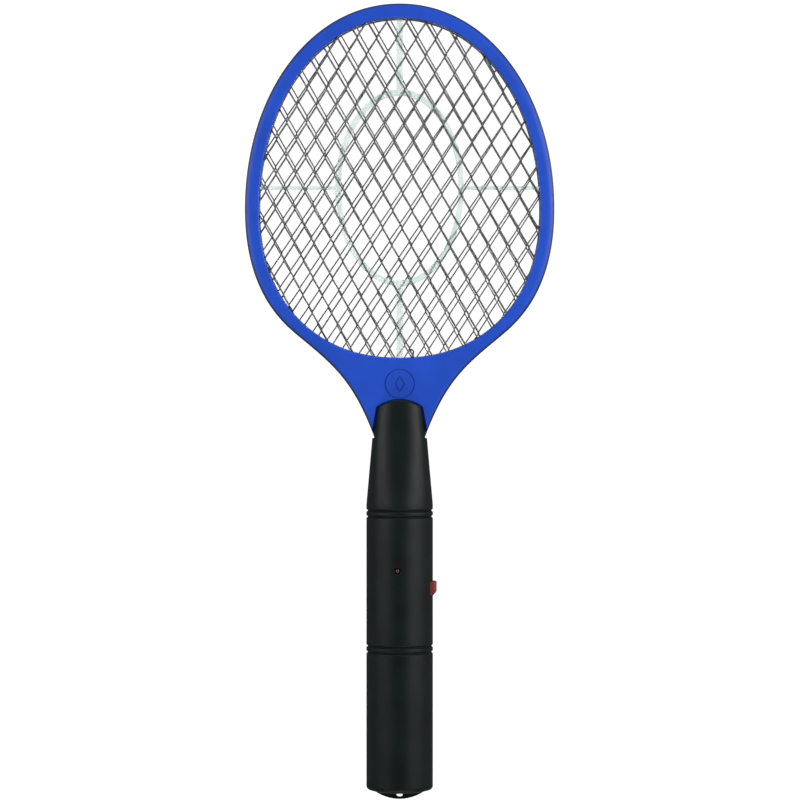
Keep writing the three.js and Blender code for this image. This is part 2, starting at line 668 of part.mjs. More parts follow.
// A conical coil between two places, closing towards the cell.
function coil(x, from, to) {
  class Cone extends THREE.Curve {
    getPoint(t, target = new THREE.Vector3()) {
      const turn = t * springTurns * 2 * Math.PI;
      const radius = THREE.MathUtils.lerp(4.2, 2.8, t);
      return target.set(x + radius * Math.cos(turn), THREE.MathUtils.lerp(from, to, t),
        -cellDrop + radius * Math.sin(turn));
    }
  }
  return wire(new Cone(), springWire, 5, springTurns * 8);
}

// The spring contact behind the right cell, with a tail through the tray's wall.
function springContact() {
  const x = cellOffset;
  const plate = bayEnd - contactThickness - 0.1;
  const cellEnd = bayStart + contactThickness + GAP + cellLength;
  return box(x - contactHalfWidth, x + contactHalfWidth, plate, bayEnd - 0.1,
    -cellDrop - contactHalfWidth, -cellDrop + contactHalfWidth)
    .add(box(x - 1, x + 1, bayEnd - 0.3, trayEnd + 1.5, -cellDrop - 0.25, -cellDrop + 0.25))
    .add(coil(x, plate + 0.1, cellEnd + springWire + GAP));
}

// The plate that joins the two cells at the tail, with the left cell's spring.
function linkContact() {
  const x = -cellOffset;
  const plate = bayStart + 0.1;
  const cellEnd = bayEnd - contactThickness - GAP - cellLength;
  return box(x - contactHalfWidth, cellOffset + contactHalfWidth, plate, plate + contactThickness,
    -cellDrop - contactHalfWidth, cradleEdge - GAP)
    .add(coil(x, plate + contactThickness - 0.1, cellEnd - springWire - GAP));
}

// ---------------------------------------------------------------- circuit
const deck = boardFront + seating; // where the components stand
const along = (share) => boardStart + share; // a place on the board, from its lower edge

const circuitBoard = () => box(-boardHalfWidth, boardHalfWidth, boardStart, boardEnd,
  boardFront - boardThickness, boardFront);

// A ferrite core with its winding showing at both sides.
const transformer = () => box(-6.5, 6.5, along(46), along(54), deck, deck + 12)
  .add(rod(0, deck + 6, 4.6, along(44.5), along(55.5), 16));

const boxCapacitor = () => box(-9, 9, along(4.5), along(12), deck, deck + 11);

// A disc capacitor standing on edge.
const discCapacitor = (x) => rod(x, deck + 4.5, 4.5, along(15.5), along(19), 16);

// A small part lying along the board with a wire out of each end.
const axialPart = (x, y, radius, length) => rod(x, deck + radius, radius, y - length / 2, y + length / 2, 8)
  .add(rod(x, deck + radius, 0.35, y - length / 2 - 2, y + length / 2 + 2, 4));

const transistor = () => box(5.4, 10.4, along(37), along(40.6), deck, deck + 5.2);

// A round bar across the handle, at the button.
function bar(x0, x1, radius) {
  const geometry = new THREE.CylinderGeometry(radius, radius, x1 - x0, 14);
  return solid(geometry.rotateZ(Math.PI / 2).translate((x0 + x1) / 2, buttonY, 0));
}

// The switch under the button, centred on the handle's axis, with a bore for its plunger.
function switchBody() {
  const bore = plungerSunk + buttonTravel + GAP;
  return box(switchStart, switchFace, buttonY - switchSize / 2, buttonY + switchSize / 2, deck, -deck)
    .subtract(bar(switchFace - bore, switchFace + 1, plungerRadius + GAP));
}

// The switch's round plunger, which points at the button.
const switchPlunger = () => bar(switchFace - plungerSunk, switchFace + plungerProud, plungerRadius);

// The button: a cap curved with the barrel, with a sloped lower end, on a flange inside the shell and a stem
// to the plunger.
function pushButton() {
  const crown = barrelRadius + buttonProud;
  const low = buttonY - buttonHeight / 2;
  const high = buttonY + buttonHeight / 2;
  const flangeOut = Math.sqrt(innerRadius ** 2 - (buttonDepth / 2 + flangeOver) ** 2) - GAP;
  const stemStart = switchFace + plungerProud + 0.1;
  const profile = [[stemStart, low + 1], [flangeOut - 0.1, low + 1], [flangeOut - 0.1, low],
    [crown - buttonRamp, low], [crown, low + buttonRamp * 0.8], [crown, high - 0.5], [crown - 0.5, high],
    [flangeOut - 0.1, high], [flangeOut - 0.1, high - 1], [stemStart, high - 1]];
  const cap = slab(profile.map(([x, y]) => new THREE.Vector2(x, y)), -buttonDepth / 2, buttonDepth / 2)
    .intersect(rod(0, 0, crown, low - 1, high + 1, 64));
  const flange = box(flangeOut - flangeThickness, flangeOut, low - flangeOver, high + flangeOver,
    -buttonDepth / 2 - flangeOver, buttonDepth / 2 + flangeOver);
  return cap.add(flange);
}

// The lamp: two legs, a flange and a domed lens just inside the front of the handle.
function lamp() {
  const tip = barrelRadius - lampRecess;
  const base = tip - 5.3;
  const profile = [[0, base], [lampFlange, base], [lampFlange, base + 1], [lampRadius, base + 1],
    [lampRadius, tip - 1.2], [lampRadius * 0.75, tip - 0.4], [0, tip]];
  const points = profile.map(([r, y]) => new THREE.Vector2(r, y));
  const body = solid(new THREE.LatheGeometry(points, 12).rotateX(Math.PI / 2))
    .translate([lampSide, lampY, 0]);
  const leg = (x) => box(x - 0.25, x + 0.25, lampY - 0.25, lampY + 0.25, deck, base + 0.2);
  return body.add(leg(lampSide - 0.9)).add(leg(lampSide + 0.9));
}

// ---------------------------------------------------------------- wires
const lugFoot = openingCentre - openingLower - pocketLap + 0.4 - lugLength;

// The wire from the board to a grid: level is the height it arrives at, and x the side it keeps to.
function gridLead(x, level) {
  const sign = Math.sign(level);
  return wire([[x, boardEnd - 3, boardFront + leadRadius + 0.3], [x * 0.9, boardEnd + 9, boardFront + 3],
    [x * 0.6, throatEnd - tenonLength - 4, level * 0.6], [x * 0.6, throatEnd - tenonLength + 4, level * 0.6],
    [x * 0.6, throatEnd - 2, level * 0.6], [x * 0.8, throatEnd + 16, level * 0.8],
    [x, lugFoot - 5, level - sign * 0.2], [x, lugFoot + 2.6, level]], leadRadius, 6, 18);
}

// The short wire from a contact's tail to the board.
const cellLead = (side) => wire([[side * cellOffset, trayEnd + 1.2, -cellDrop + 1.2],
  [side * cellOffset, trayEnd + 3.4, -cellDrop + 2.4],
  [side * (cellOffset - 0.6), boardStart - 1, -cellDrop + 1.6],
  [side * (cellOffset - 0.8), boardStart + 2.2, boardFront + leadRadius + 0.25]], leadRadius, 6, 9);

// ---------------------------------------------------------------- fasteners
// A pan-head screw whose head sits at seat, with its point in +Z.
function screw(x, y, seat, length) {
  const top = seat - screwHeadHeight;
  const profile = [[0, top], [screwHeadRadius * 0.8, top], [screwHeadRadius, top + 0.4],
    [screwHeadRadius, seat], [screwRadius, seat], [screwRadius, seat + length - 1], [0, seat + length]];
  const points = profile.map(([r, z]) => new THREE.Vector2(r, z));
  return solid(new THREE.LatheGeometry(points, 8).rotateX(Math.PI / 2)).translate([x, y, 0]);
}

// ---------------------------------------------------------------- the swatter
const swatter = new THREE.Group();
const add = (name, finish, made) => swatter.add(piece(name, finish, made));

add("head_front_frame", "blue", headFrame(1).subtract(emblem()));
add("head_rear_frame", "blue", headFrame(-1));
add("front_guard_grid", "strand", grid(guardBase, frontTwist, frontKnot, lugSpacing));
add("centre_grid", "strand", grid(-gridThickness / 2, centreTwist, centreKnot, 0));
add("rear_guard_grid", "strand", grid(-guardBase - gridThickness, rearTwist, rearKnot, -lugSpacing));
add("front_spacer", "clear", spacer(spacerBase));
add("rear_spacer", "clear", spacer(-spacerBase - spacerThickness));

add("handle_front_shell", "black", handleShell(1));
add("handle_rear_shell", "black", handleShell(-1));
add("battery_door", "black", batteryDoor());
add("battery_tray", "black", batteryTray());
add("battery_cell_left", "cell", cell(-1, true));
add("battery_cell_right", "cell", cell(1, false));
add("flat_contact", "steel", flatContact());
add("spring_contact", "steel", springContact());
add("link_contact", "steel", linkContact());

add("circuit_board", "board", circuitBoard());
add("step_up_transformer", "core", transformer());
add("storage_capacitor", "film", boxCapacitor());
add("disc_capacitor_1", "resistor", discCapacitor(-5.5));
add("disc_capacitor_2", "resistor", discCapacitor(5.5));
[-9.2, -6.1, -3].forEach((x, i) => {
  add(`rectifier_diode_${i + 1}`, "component", axialPart(x, along(26), 1.2, 4.6));
});
add("lamp_resistor", "resistor", axialPart(-5.4, along(37.5), 0.9, 5.6));
add("bleed_resistor", "resistor", axialPart(-8.6, along(37.5), 0.9, 5.6));
add("power_transistor", "component", transistor());
add("switch_body", "component", switchBody());
add("switch_plunger", "whiteWire", switchPlunger());
add("push_button", "red", pushButton());
add("indicator_lamp", "red", lamp());

add("front_grid_lead", "blackWire", gridLead(lugSpacing, guardBase - leadRadius - GAP));
add("centre_grid_lead", "redWire", gridLead(0.01, -gridThickness / 2 - leadRadius - GAP));
add("rear_grid_lead", "blackWire", gridLead(-lugSpacing, -guardBase + leadRadius + GAP));
add("positive_cell_lead", "redWire", cellLead(-1));
add("negative_cell_lead", "blackWire", cellLead(1));

headScrewPlaces().forEach(([x, y], i) => add(`head_screw_${i + 1}`, "steel",
  screw(x, y, headScrewSeat, headScrewLength)));
add("neck_screw_left", "steel", screw(-neckScrewOffset, neckScrewY, -neckScrewSeat, 2 * neckScrewSeat));
add("neck_screw_right", "steel", screw(neckScrewOffset, neckScrewY, -neckScrewSeat, 2 * neckScrewSeat));
add("middle_screw_left", "steel", screw(-midScrewOffset, midScrewY, -midScrewSeat, 2 * midScrewSeat));
add("middle_screw_right", "steel", screw(midScrewOffset, midScrewY, -midScrewSeat, 2 * midScrewSeat));
add("tray_screw", "steel", screw(0, trayScrewY, cellRadius + trayFloor - cellDrop - 4 - 0.2, 11));

swatter.position.set(0, -totalLength / 2, barrelRadius);
export default swatter;
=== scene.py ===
"""Electric fly swatter, seen from straight above as it lies on its back.

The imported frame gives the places. The head's two halves, its three grids and two spacers, the handle's two
shells, the battery door, the button, the lamp, the cells and the screws are remade here with smooth outlines,
rounded edges and fine detail. The rest of the battery bay and the circuit keep their own solids and take
materials.
"""
import math

import bmesh
import bpy
from mathutils import Matrix, Vector
from mathutils.kdtree import KDTree


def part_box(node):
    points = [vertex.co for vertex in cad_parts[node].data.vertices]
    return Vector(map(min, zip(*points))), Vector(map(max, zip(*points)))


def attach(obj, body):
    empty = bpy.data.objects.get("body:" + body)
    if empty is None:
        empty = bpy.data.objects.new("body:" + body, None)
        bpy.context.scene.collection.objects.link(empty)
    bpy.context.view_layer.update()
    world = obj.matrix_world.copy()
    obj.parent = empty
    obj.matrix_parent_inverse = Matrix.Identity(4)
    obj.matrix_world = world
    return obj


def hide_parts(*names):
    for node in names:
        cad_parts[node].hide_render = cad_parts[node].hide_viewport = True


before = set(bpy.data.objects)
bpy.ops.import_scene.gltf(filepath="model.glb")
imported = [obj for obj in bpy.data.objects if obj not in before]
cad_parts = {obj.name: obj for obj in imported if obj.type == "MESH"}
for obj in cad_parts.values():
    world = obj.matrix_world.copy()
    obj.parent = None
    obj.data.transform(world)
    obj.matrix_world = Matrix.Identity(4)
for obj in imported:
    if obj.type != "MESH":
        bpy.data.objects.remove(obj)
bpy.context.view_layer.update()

MM = 0.001
BODY = "racket"

# ------------------------------------------------------------------ places, from the frame
shell_low, shell_high = (Vector(c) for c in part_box("handle_front_shell"))
face_low, face_high = (Vector(c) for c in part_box("head_front_frame"))
door_low, door_high = (Vector(c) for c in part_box("battery_door"))
button_low, button_high = (Vector(c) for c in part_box("push_button"))
lamp_low, lamp_high = (Vector(c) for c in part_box("indicator_lamp"))

BARREL_R = shell_high.x
AXIS_Z = shell_high.z - shell_high.x  # height of the handle's axis, and of the head's middle plane
PARTING = shell_low.z - AXIS_Z  # half of the seam between two halves
TAIL_Y = shell_low.y
TONGUE_END = shell_high.y
TENON_END = face_low.y
HEAD_END = face_high.y
HEAD_HALF_WIDTH = face_high.x
HEAD_HALF_DEPTH = face_high.z - AXIS_Z
LAMP_X = (lamp_low.x + lamp_high.x) / 2
LAMP_Y = (lamp_low.y + lamp_high.y) / 2

# ------------------------------------------------------------------ sizes of the head
BAND = 8.1 * MM
UPPER_REACH = 107.0 * MM
LOWER_REACH = 83.1 * MM
OPENING_HALF_WIDTH = HEAD_HALF_WIDTH - BAND + 0.2 * MM
OPENING_Y = HEAD_END - BAND - UPPER_REACH
UPPER_ROUNDNESS = 2.05
LOWER_ROUNDNESS = 2.2
POCKET_LAP = 3.0 * MM
GRID_LAP = 2.6 * MM
LIP_BASE = 4.6 * MM
TONGUE = 21.2 * MM
NECK_END = TONGUE_END - TONGUE
THROAT_END = NECK_END + 0.3 * MM
THROAT_HALF_WIDTH = 14.1 * MM
TENON_HALF_WIDTH = 11.5 * MM
SEAT_Z = 6.0 * MM
GAP = 0.3 * MM
OUTER_ROUND = 1.5 * MM
CROWN_WIDTH = 4.6 * MM
# width of the painted shade on the head's outer edge, a dark navy line standing in for the shade of the
# rounding
RIM_SHADE_WIDTH = 0.72 * MM
INNER_ROUND = 0.7 * MM
EMBLEM_Y = NECK_END + 30.3 * MM
EMBLEM_R = 8.1 * MM
EMBLEM_LINE = 0.7 * MM
EMBLEM_RHOMB = (2.6 * MM, 4.2 * MM)

# ------------------------------------------------------------------ sizes of the handle
WALL = 2.0 * MM
BARREL_START = TAIL_Y + 5.2 * MM
BARREL_END = NECK_END - 37.1 * MM
NECK_HALF_WIDTH = 15.35 * MM
NECK_HALF_DEPTH = 13.8 * MM
NECK_ROUNDNESS = 2.6
ARCH_R = 20.6 * MM
FORK_Z = 6.2 * MM
END_ROUND = 2.2 * MM
END_WALL = 2.5 * MM
END_DOME = 1.0 * MM  # how far the barrel's flat end bulges towards the tail
END_DOME_RIM = 4.0 * MM  # and how far in from its rounding that is reached
GROOVE_HALF_WIDTH = 1.0 * MM
GROOVE_DEPTH = 0.8 * MM
GROOVES = [BARREL_START + 77.2 * MM, BARREL_START + 80.6 * MM, BARREL_END - 6.8 * MM, BARREL_END - 3.4 * MM]
TAB_R = 24.0 * MM
TAB_HALF = 1.6 * MM
TAB_HOLE = (3.6 * MM, 2.4 * MM)
TAB_HOLE_Y = TAIL_Y + 2.3 * MM
DOOR_HALF_WIDTH = 14.8 * MM
FLANGE_OVER = 1.3 * MM
SEAT_GAP = 0.75 * MM
TRENCH_Z = 4.2 * MM
TONGUE_CORNER = 12.35 * MM


# ------------------------------------------------------------------ meshes
def placed(name, data):
    """An object with that data, in the scene."""
    obj = bpy.data.objects.new(name, data)
    bpy.context.scene.collection.objects.link(obj)
    return obj


def baked(name, obj):
    """A new object with the evaluated mesh of another, which is then thrown away."""
    graph = bpy.context.evaluated_depsgraph_get()
    mesh = bpy.data.meshes.new_from_object(obj.evaluated_get(graph))
    bpy.data.objects.remove(obj)
    return placed(name, mesh)


def made(name, verts, faces):
    """A mesh object of those corners and faces, with its faces turned outwards."""
    mesh = bpy.data.meshes.new(name)
    mesh.from_pydata([tuple(v) for v in verts], [], faces)
    shape = bmesh.new()
    shape.from_mesh(mesh)
    bmesh.ops.recalc_face_normals(shape, faces=shape.faces)
    shape.to_mesh(mesh)
    shape.free()
    return placed(name, mesh)


def applied(obj):
    """The object with its modifiers turned into plain mesh."""
    graph = bpy.context.evaluated_depsgraph_get()
    mesh = bpy.data.meshes.new_from_object(obj.evaluated_get(graph))
    obj.modifiers.clear()
    old = obj.data
    obj.data = mesh
    bpy.data.meshes.remove(old)
    mesh.name = obj.name
    return obj


def combined(obj, tool, operation="DIFFERENCE"):
    """The object cut by, joined to or kept inside a tool, which is then thrown away."""
    modifier = obj.modifiers.new("combine", "BOOLEAN")
    modifier.operation = operation
    modifier.solver = "EXACT"
    modifier.object = tool
    applied(obj)
    bpy.data.objects.remove(tool)
    return obj


def joined(name, objects):
    """Several closed shapes as one mesh object."""
    shape = bmesh.new()
    for obj in objects:
        shape.from_mesh(obj.data)
        bpy.data.objects.remove(obj)
    mesh = bpy.data.meshes.new(name)
    shape.to_mesh(mesh)
    shape.free()
    return placed(name, mesh)


def prism(name, outline, z0, z1):
    """A flat outline, a list of (x, y), thickened from z0 to z1."""
    count = len(outline)
    verts = [(x, y, z0) for x, y in outline] + [(x, y, z1) for x, y in outline]
    sides = [(i, (i + 1) % count, (i + 1) % count + count, i + count) for i in range(count)]
    return made(name, verts, [tuple(range(count)), tuple(range(count, 2 * count)), *sides])


def brick(name, low, high):
    """A box between two corners."""
    (x0, y0, z0), (x1, y1, z1) = low, high
    return prism(name, [(x0, y0), (x1, y0), (x1, y1), (x0, y1)], z0, z1)


def turned(name, profile, centre, axis="Z", steps=32):
    """A closed profile of (radius, height) turned once round an axis through centre."""
    verts, rings = [], []
    for radius, height in profile:
        if radius < 1e-7:
            rings.append([len(verts)] * steps)
            verts.append((0, 0, height))
            continue
        rings.append(list(range(len(verts), len(verts) + steps)))
        for i in range(steps):
            angle = 2 * math.pi * i / steps
            verts.append((radius * math.cos(angle), radius * math.sin(angle), height))
    faces = []
    for lower, upper in zip(rings, rings[1:]):
        for i in range(steps):
            j = (i + 1) % steps
            face = [lower[i], lower[j], upper[j], upper[i]]
            faces.append(tuple(dict.fromkeys(face)))
    if axis == "Y":
        verts = [(x, z, y) for x, y, z in verts]
    return made(name, [Vector(v) + Vector(centre) for v in verts], faces)


def circle(x, y, radius, steps=64):
    """Points once round a circle."""
    angles = [2 * math.pi * i / steps for i in range(steps)]
    return [(x + radius * math.cos(a), y + radius * math.sin(a)) for a in angles]


def stacked_faces(count, bands, round_again=False):
    """The faces between closed loops of count points, one band after another, back to the first if asked."""
    loops = bands if round_again else bands + 1
    faces = []
    for k in range(bands):
        after = (k + 1) % loops
        for i in range(count):
            j = (i + 1) % count
            faces.append((k * count + i, k * count + j, after * count + j, after * count + i))
    return faces


def tube_faces(count):
    """The faces of a thick-walled tube of four loops: outer and inner at each of its two ends."""
    faces = []
    for i in range(count):
        a, b, c, d = (k * count + i for k in range(4))
        e, f, g, h = (k * count + (i + 1) % count for k in range(4))
        faces += [(a, e, g, c), (b, d, h, f), (a, b, f, e), (c, g, h, d)]
    return faces


def hollow(name, outer, inner, z0, z1):
    """The band between two outlines with the same number of points, from z0 to z1."""
    verts = [(x, y, z) for z in (z0, z1) for loop in (outer, inner) for x, y in loop]
    return made(name, verts, tube_faces(len(outer)))


def dressed(obj, material, body=BODY, stands_for=(), sharp=math.radians(32)):
    """Smooth shading with sharp edges kept, a material, a body to ride on and the nodes it stands for."""
    mesh = obj.data
    shape = bmesh.new()
    shape.from_mesh(mesh)
    bmesh.ops.remove_doubles(shape, verts=shape.verts, dist=1e-7)
    for face in shape.faces:
        face.smooth = True
    for edge in shape.edges:
        edge.smooth = len(edge.link_faces) == 2 and edge.calc_face_angle(0.0) < sharp
    shape.to_mesh(mesh)
    shape.free()
    mesh.materials.clear()
    mesh.materials.append(material)
    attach(obj, body)
    if stands_for:
        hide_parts(*stands_for)
    return obj


def weighted(obj):
    """Flat faces that stay flat beside their rounded edges."""
    modifier = obj.modifiers.new("face_weights", "WEIGHTED_NORMAL")
    modifier.keep_sharp = True
    modifier.weight = 80
    return obj


# ------------------------------------------------------------------ materials
def group(name, inputs, outputs, family="ShaderNodeTree"):
    """An empty node group with named sockets: (name, kind, default) going in, (name, kind) coming out."""
    tree = bpy.data.node_groups.new(name, family)
    for label, kind, default in inputs:
        socket = tree.interface.new_socket(label, in_out="INPUT", socket_type="NodeSocket" + kind)
        if default is not None:
            socket.default_value = default
    for label, kind in outputs:
        tree.interface.new_socket(label, in_out="OUTPUT", socket_type="NodeSocket" + kind)
    return tree, tree.nodes.new("NodeGroupInput"), tree.nodes.new("NodeGroupOutput")


def node(tree, kind, settings=None, **sockets):
    """A node with its settings and the defaults of its sockets."""
    result = tree.nodes.new(kind)
    for key, value in (settings or {}).items():
        setattr(result, key, value)
    for key, value in sockets.items():
        result.inputs[key.replace("_", " ")].default_value = value
    return result


def math_node(tree, operation, first, second, clamp=False):
    """A Math node; each of its two values is a number or an output socket."""
    result = node(tree, "ShaderNodeMath", {"operation": operation, "use_clamp": clamp})
    for socket, value in zip(result.inputs, (first, second)):
        if isinstance(value, (int, float)):
            socket.default_value = value
        else:
            tree.links.new(value, socket)
    return result.outputs[0]


def wired(tree, *rows):
    """Links of a tree: each row is (node, output, node, input)."""
    for source, output, target, entry in rows:
        tree.links.new(source.outputs[output], target.inputs[entry])


def mould_grain():
    """Fine spark-eroded texture of a mould: a height, and a soft tone that drifts over the piece."""
    tree, given, out = group(
        "mould_grain",
        [("Vector", "Vector", None), ("Grain", "Float", 2600.0), ("Ripple", "Float", 90.0)],
        [("Height", "Float"), ("Tone", "Float")],
    )
    fine = node(tree, "ShaderNodeTexNoise", Detail=3.0, Roughness=0.6)
    pits = node(tree, "ShaderNodeTexVoronoi", {"feature": "F1"}, Randomness=1.0)
    broad = node(tree, "ShaderNodeTexNoise", Detail=2.0, Roughness=0.5)
    wired(tree, *((given, "Vector", texture, "Vector") for texture in (fine, pits, broad)),
          (given, "Grain", fine, "Scale"), (given, "Grain", pits, "Scale"), (given, "Ripple", broad, "Scale"))
    pitted = math_node(tree, "MULTIPLY", pits.outputs["Distance"], 0.5)
    grain = math_node(tree, "ADD", fine.outputs["Fac"], pitted)
    swell = math_node(tree, "MULTIPLY", broad.outputs["Fac"], 0.6)
    tree.links.new(math_node(tree, "ADD", grain, swell), out.inputs["Height"])
    tree.links.new(broad.outputs["Fac"], out.inputs["Tone"])
    return tree


def handling():
    """Faint smears and hairline scratches: a roughness that changes over the piece, and a scratch mask."""
    tree, given, out = group(
        "handling",
        [("Vector", "Vector", None), ("Roughness", "Float", 0.5), ("Smears", "Float", 0.1)],
        [("Roughness", "Float"), ("Scratches", "Float")],
    )
    smear = node(tree, "ShaderNodeTexNoise", Scale=38.0, Detail=5.0, Roughness=0.65, Distortion=0.8)
    stretch = node(tree, "ShaderNodeMapping", {"vector_type": "POINT"}, Rotation=(0.0, 0.0, 0.5),
                   Scale=(1.0, 14.0, 1.0))
    hair = node(tree, "ShaderNodeTexNoise", Scale=260.0, Detail=1.0, Roughness=0.5)
    wired(tree, (given, "Vector", smear, "Vector"), (given, "Vector", stretch, "Vector"),
          (stretch, "Vector", hair, "Vector"))
    centred = math_node(tree, "SUBTRACT", smear.outputs["Fac"], 0.5)
    shift = math_node(tree, "MULTIPLY", centred, given.outputs["Smears"])
    scratch = math_node(tree, "GREATER_THAN", hair.outputs["Fac"], 0.7)
    rough = math_node(tree, "ADD", given.outputs["Roughness"], shift, clamp=True)
    tree.links.new(rough, out.inputs["Roughness"])
    tree.links.new(scratch, out.inputs["Scratches"])
    return tree


def tinted():
    """A colour that drifts between a darker and a lighter shade with a tone."""
    tree, given, out = group(
        "tinted",
        [("Dark", "Color", (0, 0, 0, 1)), ("Light", "Color", (1, 1, 1, 1)), ("Tone", "Float", 0.5)],
        [("Colour", "Color")],
    )
    ramp = node(tree, "ShaderNodeMapRange", From_Min=0.35, From_Max=0.65)
    mix = node(tree, "ShaderNodeMix", {"data_type": "RGBA"})
    wired(tree, (given, "Tone", ramp, "Value"), (ramp, "Result", mix, "Factor"), (given, "Dark", mix, 6),
          (given, "Light", mix, 7), (mix, 2, out, "Colour"))
    return tree


GRAIN = mould_grain()
HANDLING = handling()
TINTED = tinted()


def moulded(name, dark, light, roughness, grain=2600.0, ripple=60.0, relief=0.2, smears=0.1, **principled):
    """A material with a drifting colour, a fine surface grain and smears in its shine."""
    material = bpy.data.materials.new(name)
    material.use_nodes = True
    tree = material.node_tree
    shader = tree.nodes["Principled BSDF"]
    place = tree.nodes.new("ShaderNodeTexCoord").outputs["Object"]
    surface = node(tree, "ShaderNodeGroup", {"node_tree": GRAIN}, Grain=grain, Ripple=ripple)
    wear = node(tree, "ShaderNodeGroup", {"node_tree": HANDLING}, Roughness=roughness, Smears=smears)
    colour = node(tree, "ShaderNodeGroup", {"node_tree": TINTED}, Dark=(*dark, 1), Light=(*light, 1))
    bump = node(tree, "ShaderNodeBump", Strength=relief, Distance=0.00006)
    tree.links.new(place, surface.inputs["Vector"])
    tree.links.new(place, wear.inputs["Vector"])
    wired(tree, (surface, "Tone", colour, "Tone"), (surface, "Height", bump, "Height"),
          (colour, "Colour", shader, "Base Color"), (wear, "Roughness", shader, "Roughness"),
          (bump, "Normal", shader, "Normal"))
    for key, value in principled.items():
        shader.inputs[key.replace("_", " ")].default_value = value
    return material


def scaled(colour, factor):
    """A colour made darker or lighter."""
    return tuple(min(1.0, c * factor) for c in colour)


BLUE = (0.0095, 0.062, 0.465)
BLACK = (0.0032, 0.0062, 0.006)
blue_plastic = moulded("satin_blue_plastic", scaled(BLUE, 0.93), scaled(BLUE, 1.06), 0.42, grain=1500.0,
                       relief=0.1, smears=0.12, Specular_IOR_Level=0.35)
black_plastic = moulded("textured_black_plastic", scaled(BLACK, 0.85), scaled(BLACK, 1.25), 0.44, grain=2400.0,
                        relief=0.5, smears=0.2, Specular_IOR_Level=0.16)
milky_plastic = moulded("milky_plastic", (0.84, 0.91, 0.89), (0.91, 0.96, 0.945), 0.35, grain=900.0,
                        relief=0.15, Transmission_Weight=0.92, IOR=1.15)
red_plastic = moulded("red_plastic", (0.19, 0.026, 0.021), (0.235, 0.036, 0.03), 0.36, grain=1800.0, relief=0.1)
red_lens = moulded("red_lens", (0.10, 0.03, 0.022), (0.16, 0.05, 0.04), 0.34, grain=300.0, relief=0.03,
                   Transmission_Weight=0.5, IOR=1.5)
STRAND_FINISH = {"grain": 5200.0, "ripple": 420.0, "relief": 0.5, "smears": 0.3, "Metallic": 1.0}
grid_metal = moulded("plated_strands", (0.15, 0.152, 0.155), (0.3, 0.302, 0.306), 0.36, **STRAND_FINISH)
zinc = moulded("zinc_plate", (0.42, 0.43, 0.45), (0.62, 0.63, 0.65), 0.32, grain=3000.0, ripple=500.0,
               relief=0.2, smears=0.3, Metallic=1.0)
solder = moulded("solder", (0.05, 0.05, 0.052), (0.16, 0.16, 0.165), 0.4, grain=2500.0, relief=0.5,
                 Metallic=0.7)


def darkened(material, mark, colour, roughness):
    """The material turned towards a darker colour where the piece's own mark says."""
    tree = material.node_tree
    shader = tree.nodes["Principled BSDF"]
    share = node(tree, "ShaderNodeAttribute", {"attribute_name": mark}).outputs["Fac"]
    for entry, kind, value, first, result in (("Base Color", "RGBA", (*colour, 1), 6, 2),
                                              ("Roughness", "FLOAT", roughness, 2, 0)):
        was = shader.inputs[entry].links[0].from_socket
        mix = node(tree, "ShaderNodeMix", {"data_type": kind})
        mix.inputs[first + 1].default_value = value
        tree.links.new(share, mix.inputs[0])
        tree.links.new(was, mix.inputs[first])
        tree.links.new(mix.outputs[result], shader.inputs[entry])


# painted light: the centre and rear grids take a lighter copy of the strand metal, standing in for glare and
# the floor's bounce on them
painted_lighter_strands = moulded("bright_strands", (0.26, 0.262, 0.268), (0.46, 0.463, 0.47), 0.32, **STRAND_FINISH)
# the strands turn dark grey on the knuckles, where each knuckle's mark says
for strands in (grid_metal, painted_lighter_strands):
    darkened(strands, "tarnish", (0.06, 0.06, 0.062), 0.5)
# painted shade: the blue turns dark navy along the head's outer rounding where the rim mark says, in place of
# the shade that falls there
darkened(blue_plastic, "rim", (0.003, 0.013, 0.075), 0.5)
black_vinyl = moulded("black_vinyl", (0.008, 0.008, 0.008), (0.014, 0.014, 0.014), 0.42)
red_vinyl = moulded("red_vinyl", (0.3, 0.02, 0.015), (0.36, 0.03, 0.02), 0.42)


# ------------------------------------------------------------------ outlines of the head
def superellipse(angle, half_x, half_y, roundness):
    """A point of a superellipse at an angle that runs evenly round it."""
    c, s = math.cos(angle), math.sin(angle)
    power = 2 / roundness
    return (math.copysign(half_x * abs(c) ** power, c), math.copysign(half_y * abs(s) ** power, s))


def opening_reach(angle, grow):
    """The point of the opening, grown by a distance, in one direction from its widest line's middle."""
    c, s = math.cos(angle), math.sin(angle)
    upper = s >= 0
    half_y = (UPPER_REACH if upper else LOWER_REACH) + grow
    roundness = UPPER_ROUNDNESS if upper else LOWER_ROUNDNESS
    half_x = OPENING_HALF_WIDTH + grow
    r = (abs(c / half_x) ** roundness + abs(s / half_y) ** roundness) ** (-1 / roundness)
    return Vector((r * c, OPENING_Y + r * s))


def bezier(points, steps):
    """Points along a cubic curve, without its first."""
    a, b, c, d = (Vector(p) for p in points)
    result = []
    for i in range(1, steps + 1):
        t = i / steps
        u = 1 - t
        result.append(a * u**3 + b * (3 * u * u * t) + c * (3 * u * t * t) + d * t**3)
    return result


THROAT_EASE = (((0.1698, 0.2625), (0.3432, 0.3286), (0.6, 0.4506)),
               ((0.7328, 0.5137), (1.0, 0.6544), (1.0, 1.0)))  # shares of the way to the widest line


